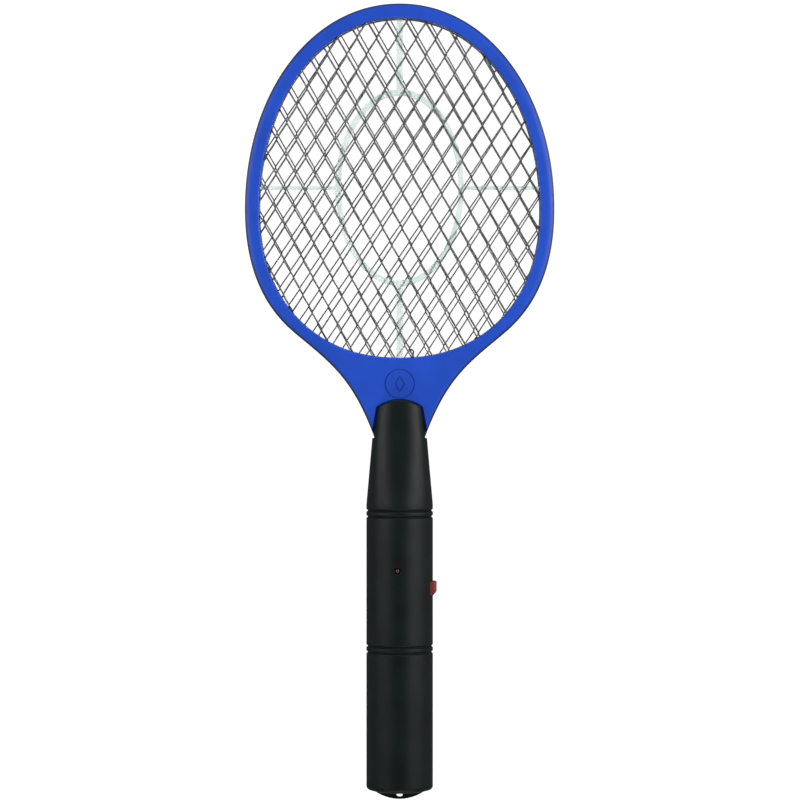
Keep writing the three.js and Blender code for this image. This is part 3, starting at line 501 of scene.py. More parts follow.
def head_outline():
    """The head's outside with its tenon, once round, anticlockwise."""
    def share(x, y):
        return Vector((THROAT_HALF_WIDTH + x * (HEAD_HALF_WIDTH - THROAT_HALF_WIDTH),
                       THROAT_END + y * (OPENING_Y - THROAT_END)))

    side = [Vector((THROAT_HALF_WIDTH, THROAT_END))]
    for shares in THROAT_EASE:
        side += bezier([side[-1], *(share(x, y) for x, y in shares)], 48)
    dome = []
    for i in range(1, 200):
        x, y = superellipse(math.pi * i / 200, HEAD_HALF_WIDTH, UPPER_REACH + BAND, UPPER_ROUNDNESS)
        dome.append(Vector((x, OPENING_Y + y)))
    left = [Vector((-p.x, p.y)) for p in reversed(side)]
    tenon = [Vector((-TENON_HALF_WIDTH, THROAT_END)), Vector((-TENON_HALF_WIDTH, TENON_END)),
             Vector((TENON_HALF_WIDTH, TENON_END)), Vector((TENON_HALF_WIDTH, THROAT_END))]
    return side + dome + left + tenon


def inset(outline, distance):
    """The outline moved inwards."""
    result = []
    for i, p in enumerate(outline):
        along = outline[(i + 1) % len(outline)] - outline[i - 1]
        result.append(p + Vector((-along.y, along.x)).normalized() * distance)
    return result


def rounding(radius, steps=5):
    """(inset, drop) pairs of a quarter round, from the face to the side."""
    angles = [0.5 * math.pi * i / steps for i in range(steps + 1)]
    return [(radius * (1 - math.sin(a)), radius * (1 - math.cos(a))) for a in angles]


def crown_share(outline):
    """How far the face rolls over at each point of the outline: fully round the ring, little at the throat."""
    shares = []
    for p in outline:
        t = min(1.0, max(0.0, (p.y - THROAT_END - 4 * MM) / (45 * MM)))
        shares.append(t * t * (3 - 2 * t))
    return shares


def head_half(name, front):
    """One half of the head: front is +1 or -1."""
    outline = head_outline()
    shares = crown_share(outline)
    angles = [math.atan2(p.y - OPENING_Y, p.x) for p in outline]
    chamfer = 0.25 * MM
    profile = [("in", 0.0, 0.0, LIP_BASE)]
    profile += [("in", d, 0.0, HEAD_HALF_DEPTH - z) for d, z in reversed(rounding(INNER_ROUND, 4))]
    for d, z in rounding(1.0, 9):
        roll = (CROWN_WIDTH - OUTER_ROUND) * d
        profile.append(("out", OUTER_ROUND * d, roll, HEAD_HALF_DEPTH - OUTER_ROUND * z))
    profile += [("out", 0.0, 0.0, PARTING + chamfer), ("out", chamfer, 0.0, PARTING)]
    profile += [("in", POCKET_LAP, 0.0, PARTING), ("in", POCKET_LAP, 0.0, LIP_BASE)]
    verts = []
    normals = inset(outline, 1.0)
    for edge, distance, extra, height in profile:
        if edge == "in":
            loop = [opening_reach(a, distance) for a in angles]
        else:
            loop = [p + (n - p) * (distance + extra * s) for p, n, s in zip(outline, normals, shares)]
        verts += [(p.x, p.y, AXIS_Z + front * height) for p in loop]
    return made(name, verts, stacked_faces(len(outline), len(profile), round_again=True))


# ------------------------------------------------------------------ sections of the handle
def section(y, skin):
    """Half width, half depth and roundness of the handle at a place along it, less a skin."""
    share = max(0.0, (y - BARREL_END) / (NECK_END - BARREL_END))
    half_x = BARREL_R + (NECK_HALF_WIDTH - BARREL_R) * share - skin
    half_z = BARREL_R + (NECK_HALF_DEPTH - BARREL_R) * share - skin
    return half_x, half_z, 2 + (NECK_ROUNDNESS - 2) * min(1.0, share)


def column_angles(y, skin, side_steps, top_steps):
    """Angles round half of a section: up to the fork's height, over the top, and down to the seam."""
    _, half_z, roundness = section(y, skin)
    seam = math.asin((PARTING / half_z) ** (roundness / 2))
    fork = math.asin((FORK_Z / half_z) ** (roundness / 2))
    right = [seam + (fork - seam) * i / side_steps for i in range(side_steps)]
    top = [fork + (math.pi - 2 * fork) * i / top_steps for i in range(top_steps)]
    return right + top + [math.pi - a for a in [fork, *reversed(right)]]


def arch(x, shrink=0.0):
    """Where the tongue ends, at a place across it."""
    radius = ARCH_R - shrink
    return TONGUE_END - ARCH_R + math.sqrt(max(radius**2 - x**2, 0.0))


def handle_rows():
    """(place, skin) of each row of the closed part, with the tail's rounding and the grooves."""
    rows = []
    for i in range(5):
        share = i / 5
        rows.append((BARREL_START - END_DOME * (1 - share**1.5), END_ROUND + END_DOME_RIM * (1 - share)))
    for i in range(9):
        angle = 0.5 * math.pi * i / 8
        rows.append((BARREL_START + END_ROUND * (1 - math.cos(angle)), END_ROUND * (1 - math.sin(angle))))
    rows.append((BARREL_START + END_WALL, 0.0))
    for groove in GROOVES:
        for i in range(-6, 7):
            share = i / 6
            dip = GROOVE_DEPTH * (0.5 + 0.5 * math.cos(math.pi * share))
            rows.append((groove + GROOVE_HALF_WIDTH * share, dip))
    for i in range(1, 20):
        rows.append((BARREL_START + END_WALL + (GROOVES[0] - BARREL_START - 2 * END_WALL) * i / 20, 0.0))
    start, end = GROOVES[1] + GROOVE_HALF_WIDTH, GROOVES[2] - GROOVE_HALF_WIDTH
    for i in range(1, 20):
        rows.append((start + (end - start) * i / 20, 0.0))
    for i in range(25):
        rows.append((BARREL_END + (NECK_END - BARREL_END) * i / 24, 0.0))
    return sorted(rows)


def handle_half(name, front):
    """Half of the handle: a shell with a round end at the tail and a solid tongue over the throat."""
    sides, top, tongue_steps = 7, 44, 12
    rows = handle_rows()
    last = len(rows) - 1
    first_inner = next(i for i, (y, _) in enumerate(rows) if y >= BARREL_START + END_WALL - 1e-9)
    columns = 2 * sides + top + 1
    verts, faces = [], []

    def add(x, y, z):
        verts.append((x, y, AXIS_Z + front * z))
        return len(verts) - 1

    def ring(y, skin, first=0, count=columns, place=None):
        half_x, half_z, roundness = section(y, skin)
        angles = column_angles(y, skin, sides, top)[first:first + count]
        points = [superellipse(a, half_x, half_z, roundness) for a in angles]
        return [add(x, place(x) if place else y, z) for x, z in points]

    def bridge(lower, upper):
        faces.extend((lower[i], lower[i + 1], upper[i + 1], upper[i]) for i in range(len(lower) - 1))

    outer = [ring(y, skin) for y, skin in rows]
    inner = [ring(y, WALL) for y, _ in rows[first_inner:]]
    for stack in (outer, inner):
        for lower, upper in zip(stack, stack[1:]):
            bridge(lower, upper)
    faces.append(tuple(outer[0]))
    faces.append(tuple(inner[0]))
    for edge in (0, -1):
        bridge([r[edge] for r in outer[first_inner:]], [r[edge] for r in inner])
    rim = [r[0] for r in outer[:first_inner + 1]]
    far_rim = [r[-1] for r in outer[:first_inner + 1]]
    faces.append(tuple([*reversed(rim), *far_rim, inner[0][-1], inner[0][0]]))
    bridge(outer[last][:sides + 1], inner[-1][:sides + 1])
    bridge(outer[last][-sides - 1:], inner[-1][-sides - 1:])
    faces.append(tuple(inner[-1][sides:-sides]))

    tongue = [outer[last][sides:-sides]]
    for i in range(1, tongue_steps + 1):
        share = 1 - (1 - i / tongue_steps) ** 1.4
        y = NECK_END + share * TONGUE
        tongue.append(ring(y, 0.0, sides, top + 1, lambda x, s=share: NECK_END + s * (arch(x) - NECK_END)))
    for lower, upper in zip(tongue, tongue[1:]):
        bridge(lower, upper)
    end = tongue[-1]
    foot = [end[0], *[add(verts[i][0], verts[i][1], FORK_Z) for i in end[1:-1]], end[-1]]
    for i in range(top):
        faces.append(tuple(dict.fromkeys((foot[i], foot[i + 1], end[i + 1], end[i]))))
    right = [r[0] for r in tongue]
    left = [r[-1] for r in tongue]
    faces.append(tuple([*right, *foot[1:-1], *reversed(left), inner[-1][-sides - 1], inner[-1][sides]]))

    shell = made(name, verts, faces)
    soft = {}
    seam, far_seam = ([r[edge] for r in outer[first_inner:]] for edge in (0, -1))
    for chain, weight in ((right, 1.0), (left, 1.0), (end, 1.0), (rim, 0.3), (far_rim, 0.3), (seam, 0.3),
                          (far_seam, 0.3), (outer[last][:sides + 1], 0.3), (outer[last][-sides - 1:], 0.3)):
        soft.update({frozenset(pair): weight for pair in zip(chain, chain[1:])})
    weights = shell.data.attributes.new("bevel_weight_edge", "FLOAT", "EDGE")
    for edge in shell.data.edges:
        weights.data[edge.index].value = soft.get(frozenset(edge.vertices), 0.0)
    bevel = shell.modifiers.new("soft_edges", "BEVEL")
    bevel.limit_method = "WEIGHT"
    bevel.width = 0.9 * MM
    bevel.segments = 3
    bevel.use_clamp_overlap = False
    return applied(shell)


def tab_half(front):
    """Half of the flat tab with the hanging hole, at the tail."""
    def edge(radius):
        centre = TAIL_Y + TAB_R
        points = [(radius * math.sin(a), centre - radius * math.cos(a))
                  for a in (0.62 * (2 * i / 40 - 1) for i in range(41))]
        top = BARREL_START + 1.2 * MM
        return [(points[-1][0], top), (points[0][0], top), *points]

    low, high = PARTING, TAB_HALF
    soft = 0.5 * MM
    layers = [(low, 0.0), (high - soft, 0.0), (high - 0.3 * soft, 0.3 * soft), (high, soft)]
    count = len(edge(TAB_R))
    verts = [(x, y, AXIS_Z + front * z) for z, drop in layers for x, y in edge(TAB_R - drop)]
    faces = [tuple(range(count)), tuple(range(3 * count, 4 * count)), *stacked_faces(count, 3)]
    tab = made("tab", verts, faces)
    width, height = TAB_HOLE
    hole = [(width / 2 * math.cos(a), TAB_HOLE_Y + height / 2 * math.sin(a))
            for a in (2 * math.pi * i / 32 for i in range(32))]
    return combined(tab, prism("hole", hole, AXIS_Z - 10 * MM, AXIS_Z + 10 * MM))


def centre_of(name):
    """The middle of a node's box."""
    low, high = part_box(name)
    return (Vector(low) + Vector(high)) / 2


HEAD_SCREWS = [f"head_screw_{i}" for i in range(1, 9)]
HANDLE_SCREWS = ["neck_screw_left", "neck_screw_right", "middle_screw_left", "middle_screw_right"]
SCREW_WELL_R = 2.25 * MM
SCREW_BORE_R = 1.25 * MM
HEAD_SCREW_HEIGHT = 1.3 * MM


def well(name, outside):
    """A sunk seat for a screw's head, open towards the back as far as outside."""
    low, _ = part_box(name)
    x, y, _ = centre_of(name)
    seat = low[2] + HEAD_SCREW_HEIGHT + 0.1 * MM
    deep = seat + 3 * MM
    flare = 0.25 * MM
    mouth = [low[2] - 20 * MM] * 2
    if name in HEAD_SCREWS:
        mouth = [AXIS_Z - HEAD_HALF_DEPTH, AXIS_Z - HEAD_HALF_DEPTH + flare]
    profile = [(0, outside), (SCREW_WELL_R + flare, outside), (SCREW_WELL_R + flare, mouth[0]),
               (SCREW_WELL_R, mouth[1]), (SCREW_WELL_R, seat), (SCREW_BORE_R, seat), (SCREW_BORE_R, deep),
               (0, deep)]
    return turned("well", profile, (x, y, 0))


# ------------------------------------------------------------------ the head
def footprint(gap):
    """The ground plan of the tongues, grown by a gap."""
    side = NECK_HALF_WIDTH + gap
    corner = TONGUE_CORNER + gap
    points = [(-side, TENON_END - 1 * MM), (side, TENON_END - 1 * MM), (side, NECK_END)]
    steps = 32
    for i in range(steps + 1):
        x = corner * (1 - 2 * i / steps)
        points.append((x, arch(x, -gap)))
    return points + [(-side, NECK_END)]


def emblem_tools():
    """A plain ring and a rhombus to sink in the throat's front."""
    low, high = AXIS_Z + HEAD_HALF_DEPTH - 0.4 * MM, AXIS_Z + HEAD_HALF_DEPTH + 1 * MM
    half = EMBLEM_LINE / 2
    loops = [circle(0, EMBLEM_Y, EMBLEM_R + grow, 96) for grow in (half, -half)]
    band = hollow("ring", *loops, low, high)

    def rhomb(grow):
        across, up = EMBLEM_RHOMB
        return [(across + grow, EMBLEM_Y), (0, EMBLEM_Y + up + grow), (-across - grow, EMBLEM_Y),
                (0, EMBLEM_Y - up - grow)]

    return [band, hollow("rhomb", rhomb(half), rhomb(-half), low, high)]


def paint_rim_shade(half):
    """Marks the outer edge of a half for a painted shade: a dark navy line along the outer rounding, where the
    edge turns away from the light.
    """
    outline = head_outline()
    line = [a.lerp(b, k / 6) for a, b in zip(outline, outline[1:] + outline[:1]) for k in range(6)]
    tree = KDTree(len(line))
    for index, p in enumerate(line):
        tree.insert((p.x, p.y, 0), index)
    tree.balance()
    marks = half.data.attributes.new("rim", "FLOAT", "POINT")
    for vert, mark in zip(half.data.vertices, marks.data):
        away = tree.find((vert.co.x, vert.co.y, 0))[2]
        mark.value = min(1.0, max(0.0, 1.9 - away / RIM_SHADE_WIDTH))


def build_head():
    """Both halves of the head, cut for the tongues, the wires, the screws and the emblem."""
    for name, front in (("head_front", 1), ("head_rear", -1)):
        half = head_half(name, front)
        seat = sorted((AXIS_Z + front * SEAT_Z, AXIS_Z + front * (HEAD_HALF_DEPTH + 2 * MM)))
        trench = sorted((AXIS_Z + front * TRENCH_Z, AXIS_Z + front * (HEAD_HALF_DEPTH + 2 * MM)))
        combined(half, hollow("trench", footprint(SEAT_GAP), footprint(-SEAT_GAP), *trench))
        tools = [prism("seat", footprint(GAP), *seat)]
        inside = sorted((AXIS_Z - front * MM, AXIS_Z + front * 3.6 * MM))
        tools.append(brick("channel", (-5 * MM, TENON_END - MM, inside[0]),
                           (5 * MM, THROAT_END + 4 * MM, inside[1])))
        combined(half, joined("tools", tools))
        if front > 0:
            combined(half, joined("tools", emblem_tools()))
        else:
            wells = [well(screw, AXIS_Z - HEAD_HALF_DEPTH - MM) for screw in HEAD_SCREWS]
            combined(half, joined("tools", wells))
        # painted shade along the head's outer rounding
        paint_rim_shade(half)
        dressed(half, blue_plastic, stands_for=[name + "_frame"])
        weighted(half)


# ------------------------------------------------------------------ grids and spacers
STRAND_PITCH = 9.53 * MM
STRAND_LEAN = math.radians(29.6)
STRAND_WIDTH = 0.74 * MM
STRAND_THICKNESS = 0.6 * MM
KNUCKLE_HALF = 0.45 * MM
GRIDS = {  # the turn in degrees, and one knot's place in millimetres from the middle line and the neck's end
    "front_guard_grid": (-1.15, (-5.0, 69.5)),
    "centre_grid": (-1.15, (-5.1, 69.35)),
    "rear_guard_grid": (-2.45, (-7.28, 72.13)),
}


def inside_pocket(point):
    """Whether a point lies inside the line that the grids are cut to."""
    x, y = point.x, point.y - OPENING_Y
    half_y = (UPPER_REACH if y >= 0 else LOWER_REACH) + GRID_LAP
    roundness = UPPER_ROUNDNESS if y >= 0 else LOWER_ROUNDNESS
    return abs(x / (OPENING_HALF_WIDTH + GRID_LAP)) ** roundness + abs(y / half_y) ** roundness <= 1


def trimmed(inner, outer):
    """The last point inside the pocket on the way from inner to outer."""
    low, high = 0.0, 1.0
    for _ in range(24):
        middle = (low + high) / 2
        if inside_pocket(inner.lerp(outer, middle)):
            low = middle
        else:
            high = middle
    return inner.lerp(outer, low)


def strand_net(name, z, twist, knot):
    """The net's centre lines: an edge for each strand between two knots, and a marked point at each knot."""
    turn = math.radians(twist)
    step = STRAND_PITCH / math.sin(2 * STRAND_LEAN)
    right = Vector((math.sin(STRAND_LEAN - turn), math.cos(STRAND_LEAN - turn))) * step
    left = Vector((-math.sin(STRAND_LEAN + turn), math.cos(STRAND_LEAN + turn))) * step
    up = Vector((-math.sin(turn), math.cos(turn))) * KNUCKLE_HALF
    origin = Vector((knot[0] * MM, NECK_END + knot[1] * MM))
    verts, edges, knots = [], [], []

    def corner(point):
        verts.append((point.x, point.y, z))
        return len(verts) - 1

    reach = 30
    for i in range(-reach, reach):
        for j in range(-reach, reach):
            here = origin + right * i + left * j
            if inside_pocket(here):
                knots.append(corner(here))
            for step_to in (right, left):
                ends = [here + up, here + step_to - up]
                within = [inside_pocket(p) for p in ends]
                if not any(within):
                    continue
                if not within[0]:
                    ends[0] = trimmed(ends[1], ends[0])
                if not within[1]:
                    ends[1] = trimmed(ends[0], ends[1])
                edges.append((corner(ends[0]), corner(ends[1])))
    mesh = bpy.data.meshes.new(name)
    mesh.from_pydata(verts, edges, [])
    marks = mesh.attributes.new("knot", "BOOLEAN", "POINT")
    for index in knots:
        marks.data[index].value = True
    return placed(name, mesh)


def geometry_tree(name, inputs):
    """A Geometry Nodes tree that takes geometry and named inputs, (name, kind, default)."""
    shape = ("Geometry", "Geometry")
    return group(name, [(*shape, None), *inputs], [shape], "GeometryNodeTree")


def expanded_metal():
    """Strands along the edges of a net, and a pressed knuckle at each marked point."""
    tree, given, out = geometry_tree("expanded_metal", [
        ("Strand Width", "Float", STRAND_WIDTH), ("Strand Thickness", "Float", STRAND_THICKNESS),
        ("Knuckle Size", "Vector", (0.42 * MM, 0.85 * MM, 0.4 * MM)), ("Twist", "Float", 0.0),
        ("Seed", "Int", 7), ("Material", "Material", None)])
    lines = node(tree, "GeometryNodeMeshToCurve")
    flat = node(tree, "GeometryNodeSetCurveNormal", {"mode": "Z_UP"})
    wire = node(tree, "GeometryNodeCurveToMesh", Fill_Caps=True)
    outline = node(tree, "GeometryNodeCurvePrimitiveQuadrilateral")
    soft = node(tree, "GeometryNodeFilletCurve", {"mode": "POLY"}, Count=1, Radius=0.12 * MM)
    wired(tree, (given, "Geometry", lines, "Mesh"), (lines, "Curve", flat, "Curve"),
          (flat, "Curve", wire, "Curve"), (given, "Strand Width", outline, "Width"),
          (given, "Strand Thickness", outline, "Height"), (outline, "Curve", soft, "Curve"),
          (soft, "Curve", wire, "Profile Curve"))

    ball = node(tree, "GeometryNodeMeshUVSphere", Segments=10, Rings=7, Radius=1.0)
    mark = node(tree, "GeometryNodeInputNamedAttribute", {"data_type": "BOOLEAN"}, Name="knot")
    # each knuckle carries a mark that turns its colour darker
    darken_knots = node(tree, "GeometryNodeStoreNamedAttribute", {"data_type": "FLOAT", "domain": "POINT"},
                Name="tarnish", Value=1.0)
    place = node(tree, "GeometryNodeInstanceOnPoints")
    jitter = node(tree, "FunctionNodeRandomValue", {"data_type": "FLOAT"}, Min=0.88, Max=1.12)
    size = node(tree, "ShaderNodeVectorMath", {"operation": "SCALE"})
    angle = node(tree, "ShaderNodeCombineXYZ")
    wired(tree, (given, "Geometry", place, "Points"), (mark, "Attribute", place, "Selection"),
          (ball, "Mesh", darken_knots, "Geometry"), (darken_knots, "Geometry", place, "Instance"),
          (given, "Seed", jitter, "Seed"), (given, "Knuckle Size", size, 0), (jitter, 1, size, "Scale"),
          (size, "Vector", place, "Scale"), (given, "Twist", angle, "Z"),
          (angle, "Vector", place, "Rotation"))

    both = node(tree, "GeometryNodeJoinGeometry")
    real = node(tree, "GeometryNodeRealizeInstances")
    coat = node(tree, "GeometryNodeSetMaterial")
    wired(tree, (wire, "Mesh", both, "Geometry"), (place, "Instances", both, "Geometry"),
          (both, "Geometry", real, "Geometry"), (real, "Geometry", coat, "Geometry"),
          (given, "Material", coat, "Material"), (coat, "Geometry", out, "Geometry"))
    return tree


def grown(obj, tree, **values):
    """The object after a Geometry Nodes tree with those inputs, as plain mesh."""
    modifier = obj.modifiers.new(tree.name, "NODES")
    modifier.node_group = tree
    sockets = {s.name: s.identifier for s in tree.interface.items_tree if s.in_out == "INPUT"}
    for key, value in values.items():
        modifier[sockets[key.replace("_", " ")]] = value
    return applied(obj)


def build_grids():
    """The three grids of expanded metal."""
    tree = expanded_metal()
    for seed, (name, (twist, knot)) in enumerate(GRIDS.items()):
        z = centre_of(name).z
        net = strand_net(name.replace("_grid", "_mesh"), z, twist, knot)
        # the inner grids take the copy of the metal painted lighter
        metal = grid_metal if seed == 0 else painted_lighter_strands
        grown(net, tree, Material=metal, Seed=seed, Twist=math.radians(twist))
        dressed(net, metal, stands_for=[name], sharp=math.radians(50))


OVAL_RISE = 12.3 * MM
OVAL = (34.5 * MM, 53.4 * MM)
OVAL_BAR = 3.0 * MM
UPRIGHT_BAR = 3.4 * MM
CROSS_BAR = 1.6 * MM
SPACER_RIM = 3.0 * MM  # its inner edge comes 0.4 mm inside the ring's opening


def spacer_outlines():
    """The spacer's outside and its five openings."""
    centre = OPENING_Y + OVAL_RISE
    steps = 160
    outside = [opening_reach(2 * math.pi * i / steps, GRID_LAP) for i in range(steps)]
    inner_x, inner_y = OVAL[0] - OVAL_BAR / 2, OVAL[1] - OVAL_BAR / 2
    window = [Vector(superellipse(2 * math.pi * i / 120, inner_x, inner_y, 2)) + Vector((0, centre))
              for i in range(120)]
    loops = [outside, window]
    rim = [opening_reach(2 * math.pi * i / 720, GRID_LAP - SPACER_RIM) for i in range(720)]
    half_x, half_y = OVAL[0] + OVAL_BAR / 2, OVAL[1] + OVAL_BAR / 2
    for side in (1, -1):
        for up in (1, -1):
            def kept(p, side=side, up=up):
                return p.x * side > UPRIGHT_BAR / 2 and (p.y - centre) * up > CROSS_BAR / 2

            arc = [p for p in rim if kept(p)]
            arc.sort(key=lambda p: math.atan2((p.y - centre) * up, p.x * side))
            oval = []
            low = math.asin(CROSS_BAR / 2 / half_y)
            high = math.acos(UPRIGHT_BAR / 2 / half_x)
            for i in range(41):
                a = low + (high - low) * i / 40
                oval.append(Vector((side * half_x * math.cos(a), centre + up * half_y * math.sin(a))))
            first = arc[0].copy()
            first.y = centre + up * CROSS_BAR / 2
            final = arc[-1].copy()
            final.x = side * UPRIGHT_BAR / 2
            loops.append([first, *arc, final, *reversed(oval)])
    return loops


def build_spacers():
    """The two milky spacers between the grids, with softened edges."""
    for name in ("front_spacer", "rear_spacer"):
        low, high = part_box(name)
        curve = bpy.data.curves.new(name + "_outline", "CURVE")
        curve.dimensions = "2D"
        curve.fill_mode = "BOTH"
        soft = 0.3 * MM
        curve.extrude = (high[2] - low[2]) / 2 - soft
        curve.bevel_depth = soft
        curve.bevel_resolution = 2
        curve.offset = -soft
        for loop in spacer_outlines():
            spline = curve.splines.new("POLY")
            spline.points.add(len(loop) - 1)
            for point, place in zip(spline.points, loop):
                point.co = (place.x, place.y, 0, 1)
            spline.use_cyclic_u = True
        ring = baked(name.replace("spacer", "spacer_ring"), placed(name + "_flat", curve))
        ring.data.transform(Matrix.Translation((0, 0, (low[2] + high[2]) / 2)))
        dressed(ring, milky_plastic, stands_for=[name])


# ------------------------------------------------------------------ the handle
def button_slot():
    """The space round the button in the shells."""
    return brick("slot", (0.006, button_low.y + FLANGE_OVER - GAP, button_low.z + FLANGE_OVER - GAP),
                 (button_high.x + 2 * MM, button_high.y - FLANGE_OVER + GAP, button_high.z - FLANGE_OVER + GAP))


def lamp_hole():
    """The lamp's hole with a small countersink."""
    top = AXIS_Z + BARREL_R
    profile = [(0, AXIS_Z + 8 * MM), (1.7 * MM, AXIS_Z + 8 * MM), (1.7 * MM, top - 0.4 * MM),
               (2.2 * MM, top + 0.1 * MM), (2.2 * MM, top + 2 * MM), (0, top + 2 * MM)]
    return turned("hole", profile, (LAMP_X, LAMP_Y, 0), steps=40)


def cylinder_band(outer, inner, y0, y1, steps=96):
    """A thick-walled tube along the handle."""
    verts = [(x, y, z) for y in (y0, y1) for radius in (outer, inner)
             for x, z in circle(0, AXIS_Z, radius, steps)]
    return made("band", verts, tube_faces(steps))


DOOR_END = door_high.y - 1.6 * MM  # where its panel ends and its tip begins
GRIP_HALF_WIDTH = 0.45 * MM
GRIP_SPACING = 2.4 * MM
GRIP_START = 9 * MM
DOOR_FLOOR = math.sqrt((BARREL_R - WALL) ** 2 - DOOR_HALF_WIDTH ** 2)


def build_handle():
    """The front shell, the rear shell and the battery door."""
    front = handle_half("handle_front", 1)
    combined(front, tab_half(1), "UNION")
    combined(front, lamp_hole())
    combined(front, button_slot())
    dressed(front, black_plastic, stands_for=["handle_front_shell"])
    weighted(front)

    rear = handle_half("handle_rear", -1)
    door = rear.copy()
    door.data = rear.data.copy()
    door.name = "battery_door_panel"
    bpy.context.scene.collection.objects.link(door)
    combined(rear, tab_half(-1), "UNION")
    combined(rear, button_slot())
    combined(rear, joined("tools", [well(screw, -1 * MM) for screw in HANDLE_SCREWS]))
    inner = BARREL_R - WALL
    doorway = cylinder_band(BARREL_R + 5 * MM, inner - GAP, TAIL_Y - MM, DOOR_END + GAP)
    window = brick("window", (-DOOR_HALF_WIDTH - GAP, TAIL_Y - 2 * MM, -5 * MM),
                   (DOOR_HALF_WIDTH + GAP, DOOR_END + 1 * MM, AXIS_Z - DOOR_FLOOR + GAP))
    combined(rear, combined(doorway, window, "INTERSECT"))
    dressed(rear, black_plastic, stands_for=["handle_rear_shell"])
    weighted(rear)

    panel = brick("panel", (-DOOR_HALF_WIDTH, BARREL_START, -5 * MM),
                  (DOOR_HALF_WIDTH, DOOR_END, AXIS_Z - DOOR_FLOOR))
    shell_only = cylinder_band(BARREL_R + 5 * MM, inner, TAIL_Y - MM, DOOR_END + MM)
    combined(door, combined(shell_only, panel, "INTERSECT"), "INTERSECT")
    grips = []
    for i in range(6):
        y = DOOR_END - GRIP_START - GRIP_SPACING * i
        half = (8 - 0.55 * i) * MM
        grips.append(brick("grip", (-half, y - GRIP_HALF_WIDTH, -1 * MM),
                           (half, y + GRIP_HALF_WIDTH, AXIS_Z - BARREL_R + 2 * MM)))
    kept = cylinder_band(BARREL_R + 3 * MM, BARREL_R - 0.5 * MM, DOOR_END - 30 * MM, DOOR_END)
    combined(door, combined(kept, joined("grips", grips), "INTERSECT"))
    under = inner - 1.2 * MM
    tongue, tip = (
        combined(cylinder_band(over, under, y0, y1),
                 brick(name, (-5 * MM, DOOR_END - 2 * MM, -MM), (5 * MM, end, AXIS_Z)), "INTERSECT")
        for name, over, y0, y1, end in (
            ("tongue", inner + 0.2 * MM, DOOR_END - 1.8 * MM, DOOR_END - 0.1 * MM, DOOR_END),
            ("tip", inner - GAP, DOOR_END - 1 * MM, door_high.y, door_high.y + MM)))
    combined(tongue, tip, "UNION")
    combined(door, tongue, "UNION")
    dressed(door, black_plastic, body="door", stands_for=["battery_door"])
    weighted(door)


# ------------------------------------------------------------------ button, lamp, screws
def build_button():
    """The red button: a cap curved with the barrel, with a sloped lower end, on a flange and a stem."""
    low, high = button_low, button_high
    bottom, top, crown = low.y + FLANGE_OVER, high.y - FLANGE_OVER, high.x
    back, front = low.z + FLANGE_OVER, high.z - FLANGE_OVER
    flange_out = math.sqrt((BARREL_R - WALL) ** 2 - (front + FLANGE_OVER - AXIS_Z) ** 2) - GAP
    ramp = 2.0 * MM
    root = flange_out - 0.4 * MM
    outline = [(root, bottom), (crown - ramp, bottom), (crown + MM, bottom + ramp * 1.2 + MM * 0.8),
               (crown + MM, top), (root, top)]
    cap = prism("push_button_cap", outline, back, front)
    combined(cap, turned("round", [(0, bottom - MM), (crown, bottom - MM), (crown, top + MM), (0, top + MM)],
                         (0, 0, AXIS_Z), axis="Y", steps=160), "INTERSECT")
    bevel = cap.modifiers.new("soft", "BEVEL")
    bevel.width = 0.5 * MM
    bevel.segments = 4
    bevel.angle_limit = math.radians(25)
    applied(cap)
    flange = brick("flange", (flange_out - 1.2 * MM, low.y, low.z), (flange_out, high.y, high.z))
    combined(cap, flange, "UNION")
    stem = brick("stem", (low.x, bottom + MM, back + MM), (flange_out - 0.6 * MM, top - MM, front - MM))
    combined(cap, stem, "UNION")
    dressed(cap, red_plastic, body="button", stands_for=["push_button"])
    weighted(cap)


def build_lamp():
    """The lamp's domed lens on its flange and two legs."""
    tip = lamp_high.z
    radius, base = 1.5 * MM, lamp_high.z - 5.3 * MM
    profile = [(0, base), (1.9 * MM, base), (1.9 * MM, base + MM), (radius, base + MM), (radius, tip - radius)]
    for i in range(1, 9):
        a = 0.5 * math.pi * i / 8
        profile.append((radius * math.cos(a), tip - radius + radius * math.sin(a)))
    profile[-1] = (0, tip)
    lens = turned("lamp_lens", profile, (LAMP_X, LAMP_Y, 0), steps=36)
    legs = [brick("leg", (x - 0.25 * MM, LAMP_Y - 0.25 * MM, lamp_low.z),
                  (x + 0.25 * MM, LAMP_Y + 0.25 * MM, base + 0.2 * MM))
            for x in (LAMP_X - 0.9 * MM, LAMP_X + 0.9 * MM)]
    combined(lens, joined("legs", legs), "UNION")
    dressed(lens, red_lens, stands_for=["indicator_lamp"])


def screw_head():
    """A pan head with a cross recess, with its seat at height 0 and its face towards -Z."""
    radius, height = 1.9 * MM, HEAD_SCREW_HEIGHT
    profile = [(0, -height), (0.45 * radius, -height), (0.8 * radius, -height * 0.9),
               (0.96 * radius, -height * 0.6), (radius, -height * 0.3), (radius, 0), (0, 0)]
    head = turned("pan_head", profile, (0, 0, 0), steps=28)
    arm, half = 1.15 * MM, 0.24 * MM
    cross = brick("cross", (-arm, -half, -2 * height), (arm, half, -height * 0.35))
    other = brick("cross", (-half, -arm, -2 * height), (half, arm, -height * 0.35))
    combined(cross, other, "UNION")
    return combined(head, cross)


